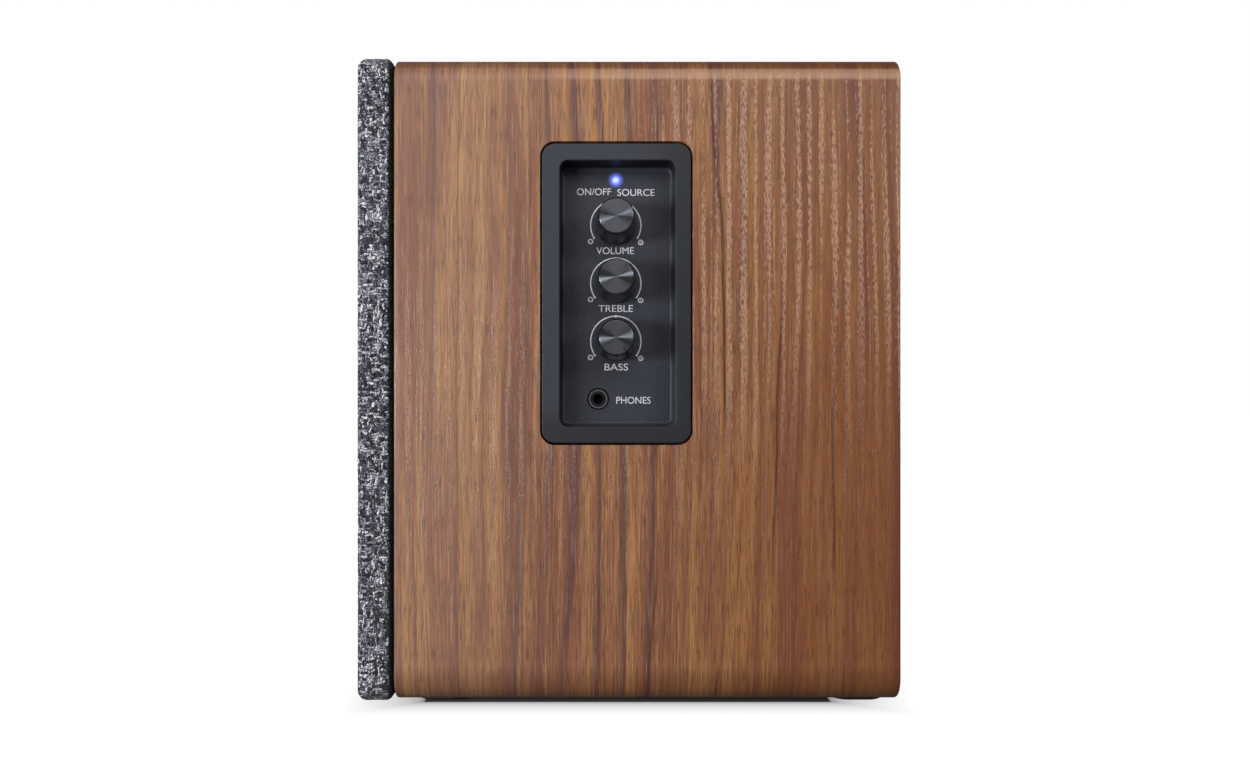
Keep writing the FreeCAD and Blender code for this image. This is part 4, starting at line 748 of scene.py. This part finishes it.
def tray_legends(ink):
    """The words, arcs and small rings printed on the floor of the tray's recess."""
    size, face = 3.6*MM, FLOOR_X + INK_PROUD/2
    below = 0.4*MM      # the printing is centred this far below the knobs' axes
    middle_y = KNOB_MIDDLES["volume"].y
    volume_z = KNOB_MIDDLES["volume"].z - below
    pitch = volume_z - KNOB_MIDDLES["treble"].z
    high = volume_z + 12.2*MM

    def label(name, words, y, z, width):
        legend(f"legend_{name}", words, y, z, size, ink, face, width=width*MM)

    label("power", "ON/OFF", middle_y - 8.0*MM, high - 0.05*MM, 12.5)
    label("source", "SOURCE", middle_y + 7.35*MM, high - 0.3*MM, 13.6)
    # each word's width, and how far it stands aside of its knob's middle and below it
    under_knobs = (("VOLUME", 13.7, -0.2, -9.4), ("TREBLE", 12.6, 0.0, -9.75),
                   ("BASS", 8.6, 0.1, -10.35))
    for step, (word, width, aside, drop) in enumerate(under_knobs):
        label(word.lower(), word, middle_y + aside*MM, volume_z + drop*MM - step*pitch, width)
    jack_low, jack_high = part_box("headphone_jack")
    label("phones", "PHONES", middle_y + 6.4*MM, (jack_low[2] + jack_high[2])/2 - 0.6*MM, 12.6)
    arc, arc_line, ring, ring_line = 9.2*MM, 0.42*MM, 0.8*MM, 0.36*MM
    for word, middle in KNOB_MIDDLES.items():
        centre = (middle.y, middle.z - below)
        stop = 120 if word == "volume" else 124
        ends = [(-stop, 0.38*MM), (stop, 0.38*MM)]
        if word == "volume":
            ring_print("arc_volume_left", centre, arc, arc_line, -stop, -22, ink, ends[:1])
            ring_print("arc_volume_right", centre, arc, arc_line, 39, stop, ink, ends[1:])
        else:
            ring_print(f"arc_{word}", centre, arc, arc_line, -stop, stop, ink, ends + [(0, arc_line)])
        for side, name, up in ((-9.25, "less", -5.9), (9.1, "more", -6.2)):
            spot = (centre[0] + side*MM, centre[1] + up*MM)
            ring_print(f"ring_{name}_{word}", spot, ring, ring_line, 0, 360, ink, steps=24)
            sign = "-" if name == "less" else "+"
            legend(f"sign_{name}_{word}", sign, spot[0], spot[1] - 0.02*MM, 1.7*MM, ink,
                   face)


def knob_index(word, degrees, paint_on):
    """The dark line across a cap's rim, this many degrees clockwise from the top at rest."""
    middle = KNOB_MIDDLES[word]
    turn = math.radians(degrees)
    outward = Vector((0, math.sin(turn), math.cos(turn)))
    aside = Vector((0, outward.z, -outward.y))
    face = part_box(f"{word}_knob_cap")[1][0]
    points = []
    for reach, half in INDEX_PROFILE:
        for side in (-1, 1):
            for depth in (-0.02*MM, INK_PROUD):
                spot = middle + outward*reach + aside*(side*half)
                points.append((face + depth, spot.y, spot.z))
    faces = [(0, 1, 3, 2), (8, 10, 11, 9)]
    for base in (0, 4):
        for a, b in ((0, 1), (1, 3), (3, 2), (2, 0)):
            faces.append((base + b, base + a, base + a + 4, base + b + 4))
    name = f"index_{word}"
    new_piece(name, mesh_from(name, points, faces), paint_on, f"{word}_knob")


def rear_legends(ink):
    """Plain words on the plate at the back, over and under its sockets and its switch."""
    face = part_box("amp_plate")[1][1] + INK_PROUD/2

    def label(name, words, node, gap, size=3.6, aside=0.0):
        """Words centred over a node (gap above 0) or under it (gap below 0)."""
        low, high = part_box(node)
        up = high[2] + gap*MM if gap > 0 else low[2] + gap*MM
        legend(f"rear_{name}", words, (low[0] + high[0])/2 + aside*MM, up, size*MM, ink,
               face, rear=True)

    label("input", "INPUT", "rca_inputs", 3.0)
    label("left", "L", "rca_inputs", -3.0, aside=7.5)
    label("right", "R", "rca_inputs", -3.0, aside=-7.5)
    label("speaker", "SPEAKER", "clip_terminals", 3.0)
    label("plus", "+", "clip_terminals", -3.2, 4.5, 10.5)
    label("minus", "-", "clip_terminals", -3.2, 4.5, -10.5)
    label("power", "POWER", "mains_inlet", 3.0)
    label("switch", "ON/OFF", "power_switch_frame", 3.0)


# ---------------------------------------------------------------- painting the CAD nodes

def paint_nodes():
    """Gives every CAD node its material."""
    wood = walnut()
    tray = tray_plastic()
    black_paint = moulded("black_paint", "141416", 0.6, 0.5, 0.00004)
    black_plastic = moulded("black_plastic", "1d1e20", 0.42, 1.0)
    knob_plastic = moulded("knob_plastic", "0a0a0c", 0.38, 1.2, 0.00001)
    gloss_black = moulded("gloss_black", "0f1012", 0.22, 0.7, 0.00001)
    rubber = moulded("rubber", "1a1a1b", 0.7, 0.8, 0.00005)
    steel = metal("plated_steel", "b4b6b8", 0.3)
    dark_steel = metal("black_oxide", "2c2d2f", 0.38)
    copper = metal("copper_winding", "b06a3c", 0.35, (6.0, 6.0, 6.0))
    ferrite = moulded("ferrite", "2b2a2b", 0.6, 0.9, 0.00006)
    silk = soft_fibre("coated_silk", "26262a", "0f0f11", 2.2)
    boards = circuit_board()
    groups = {
        wood: ["cabinet_sleeve"],
        tray: ["control_tray"],
        black_paint: ["front_baffle", "rear_board", "grille_frame", "woofer_basket", "amp_plate"],
        black_plastic: ["port_tube", "grille_pegs", "tweeter_faceplate", "clip_terminals",
                        "volume_plunger"],
        knob_plastic: ["volume_knob", "treble_knob", "bass_knob"],
        jack_plastic(): ["headphone_jack"],
        gloss_black: ["power_switch_frame", "power_rocker", "clip_lever_black"],
        rubber: ["rubber_feet", "grille_sockets", "woofer_surround", "woofer_lead", "tweeter_lead",
                 "control_lead"],
        steel: ["woofer_top_plate", "woofer_yoke", "tweeter_top_plate", "tweeter_yoke",
                "volume_encoder", "treble_pot", "bass_pot", "volume_shaft", "treble_shaft",
                "bass_shaft", "transformer"],
        dark_steel: ["driver_screws", "tray_screws", "plate_screws"],
        copper: ["woofer_voice_coil", "tweeter_voice_coil"],
        ferrite: ["woofer_magnet", "tweeter_magnet"],
        silk: ["tweeter_surround", "tweeter_dome"],
        boards: ["control_board", "main_board"],
        cone_paper(): ["woofer_cone", "woofer_dust_cap"],
        soft_fibre("wadding", "e4e1d8", "b9b4a6"): ["damping_wadding"],
        soft_fibre("spider_cloth", "c9a45a", "8c6c33", 2.0): ["woofer_spider"],
        moulded("red_plastic", "9c1a18", 0.3, 1.0): ["clip_lever_red"],
        glowing_lens(): ["power_led"],
        socket_block(): ["rca_inputs"],
        inlet_plastic(): ["mains_inlet"],
    }
    for material, nodes in groups.items():
        for node in nodes:
            paint(node, material)
    for word, middle in KNOB_MIDDLES.items():
        paint(f"{word}_knob_cap", spun_metal(f"spun_metal_{word}", "60636a", middle))


# ---------------------------------------------------------------- stage, camera and lights

def seen_directly(nodes):
    """1 for what the eye sees directly, and 0 for light on its way round the studio."""
    return nodes.new("ShaderNodeLightPath").outputs["Is Camera Ray"]


def stage():
    """A white floor under a white sky, burnt out as in a studio picture, with a painted contact shadow
    where the floor's glow fades out round the part. The part itself is lit by the softboxes, in an
    otherwise dim room."""
    floor_mesh = mesh_from("floor", [(-6, -6, 0), (6, -6, 0), (6, 6, 0), (-6, 6, 0)], [(0, 1, 2, 3)])
    floor = bpy.data.objects.new("floor", floor_mesh)
    bpy.context.scene.collection.objects.link(floor)
    shade = Shade("pale_floor")
    place = shade.place()
    x, y, _ = shade.split(place)
    beside = shade.plus(shade.math("ABSOLUTE", x), -1000*SIDE_X)
    spread = 0.45       # the shadow reaches farther along the part's depth than at its sides
    beyond = shade.times(shade.plus(shade.math("ABSOLUTE", y), -1000*cad_box[1][1]), spread)
    outside = shade.vector("LENGTH", shade.join(shade.math("MAXIMUM", beside, 0.0),
                                                shade.math("MAXIMUM", beyond, 0.0)))
    away = shade.plus(outside, shade.math("MINIMUM", shade.math("MAXIMUM", beside, beyond), 0.0))

    # painted contact shadow: the floor's glow fades in from 10.2 mm inside the part's outline to 10.4 mm
    # outside it
    near, far = -10.2, 10.4
    clear = shade.math("POWER", shade.times(shade.plus(away, -near), 1.0/(far - near), clamp=True), 0.3)
    glow = shade.times(clear, seen_directly(shade.nodes))
    drift = shade.noise(place, 0.002, 2.0)
    shade.set(Base_Color=shade.mix(drift, tone("767676"), tone("7c7c7c")), Roughness=0.8,
              Emission_Strength=glow)
    shade.set(Specular_IOR_Level=0.0, Emission_Color=(1.0, 1.0, 1.0, 1.0))
    floor_mesh.materials.append(shade.material)

    world = bpy.data.worlds.new("studio")
    world.use_nodes = True
    nodes, links = world.node_tree.nodes, world.node_tree.links
    level = nodes.new("ShaderNodeMapRange")
    level.inputs["To Min"].default_value = 0.15
    level.inputs["To Max"].default_value = 1.0
    links.new(seen_directly(nodes), level.inputs["Value"])
    links.new(level.outputs[0], nodes["Background"].inputs["Strength"])
    nodes["Background"].inputs["Color"].default_value = (1.0, 1.0, 1.0, 1.0)
    bpy.context.scene.world = world


def camera():
    """Level with the middle of the cabinet's side, a third of a metre away from it."""
    lens = bpy.data.cameras.new("camera")
    lens.sensor_width = 36.0
    lens.lens = 26.06
    lens.shift_x = 0.0152
    lens.shift_y = 0.0104
    lens.clip_start = 0.01
    view = bpy.data.objects.new("camera", lens)
    view.location = (SIDE_X + 322*MM, -7.85*MM, 112.3*MM)
    view.rotation_euler = (math.pi/2, 0.0, math.pi/2)
    bpy.context.scene.collection.objects.link(view)
    bpy.context.scene.camera = view


def softbox(name, place, target, wide, tall, brightness, colour=(1.0, 1.0, 1.0)):
    """An area lamp whose face is this bright, where 1 is the white of paper."""
    light = bpy.data.lights.new(name, "AREA")
    light.shape = "RECTANGLE"
    light.size = wide
    light.size_y = tall
    light.energy = brightness*math.pi*wide*tall
    light.color = colour
    lamp = bpy.data.objects.new(name, light)
    lamp.location = place
    lamp.rotation_euler = (Vector(target) - Vector(place)).to_track_quat("-Z", "Y").to_euler()
    bpy.context.scene.collection.objects.link(lamp)


def lights():
    """Five softboxes: above, to the left and right of the camera, behind, and at the far side."""
    softbox("overhead", (0.72, 0.06, 0.66), (SIDE_X, 0.0, 0.16), 1.3, 0.4, 2.3)
    softbox("left_bank", (0.50, -0.62, 0.13), (SIDE_X, -0.04, 0.14), 0.55, 0.14, 22.0,
            colour=(0.96, 0.98, 1.0))
    softbox("back_fill", (-0.35, 0.95, 0.26), (0.0, 0.09, 0.12), 0.8, 0.36, 4.5)
    softbox("far_fill", (-0.90, -0.45, 0.26), (-SIDE_X, -0.02, 0.12), 0.8, 0.36, 4.0)
    softbox("right_bank", (0.72, 0.72, 0.42), (SIDE_X, 0.0, 0.16), 0.36, 0.18, 11.0)


stage()
camera()
lights()
paint_nodes()
ink = printed_ink()
grille_cloth()
tray_legends(ink)
rear_legends(ink)
dark_ink = moulded("index_paint", "0c0c0e", 0.6, 1.4)
knob_index("treble", 42, dark_ink)
knob_index("bass", 145, dark_ink)
bpy.context.scene.view_settings.view_transform = "Standard"
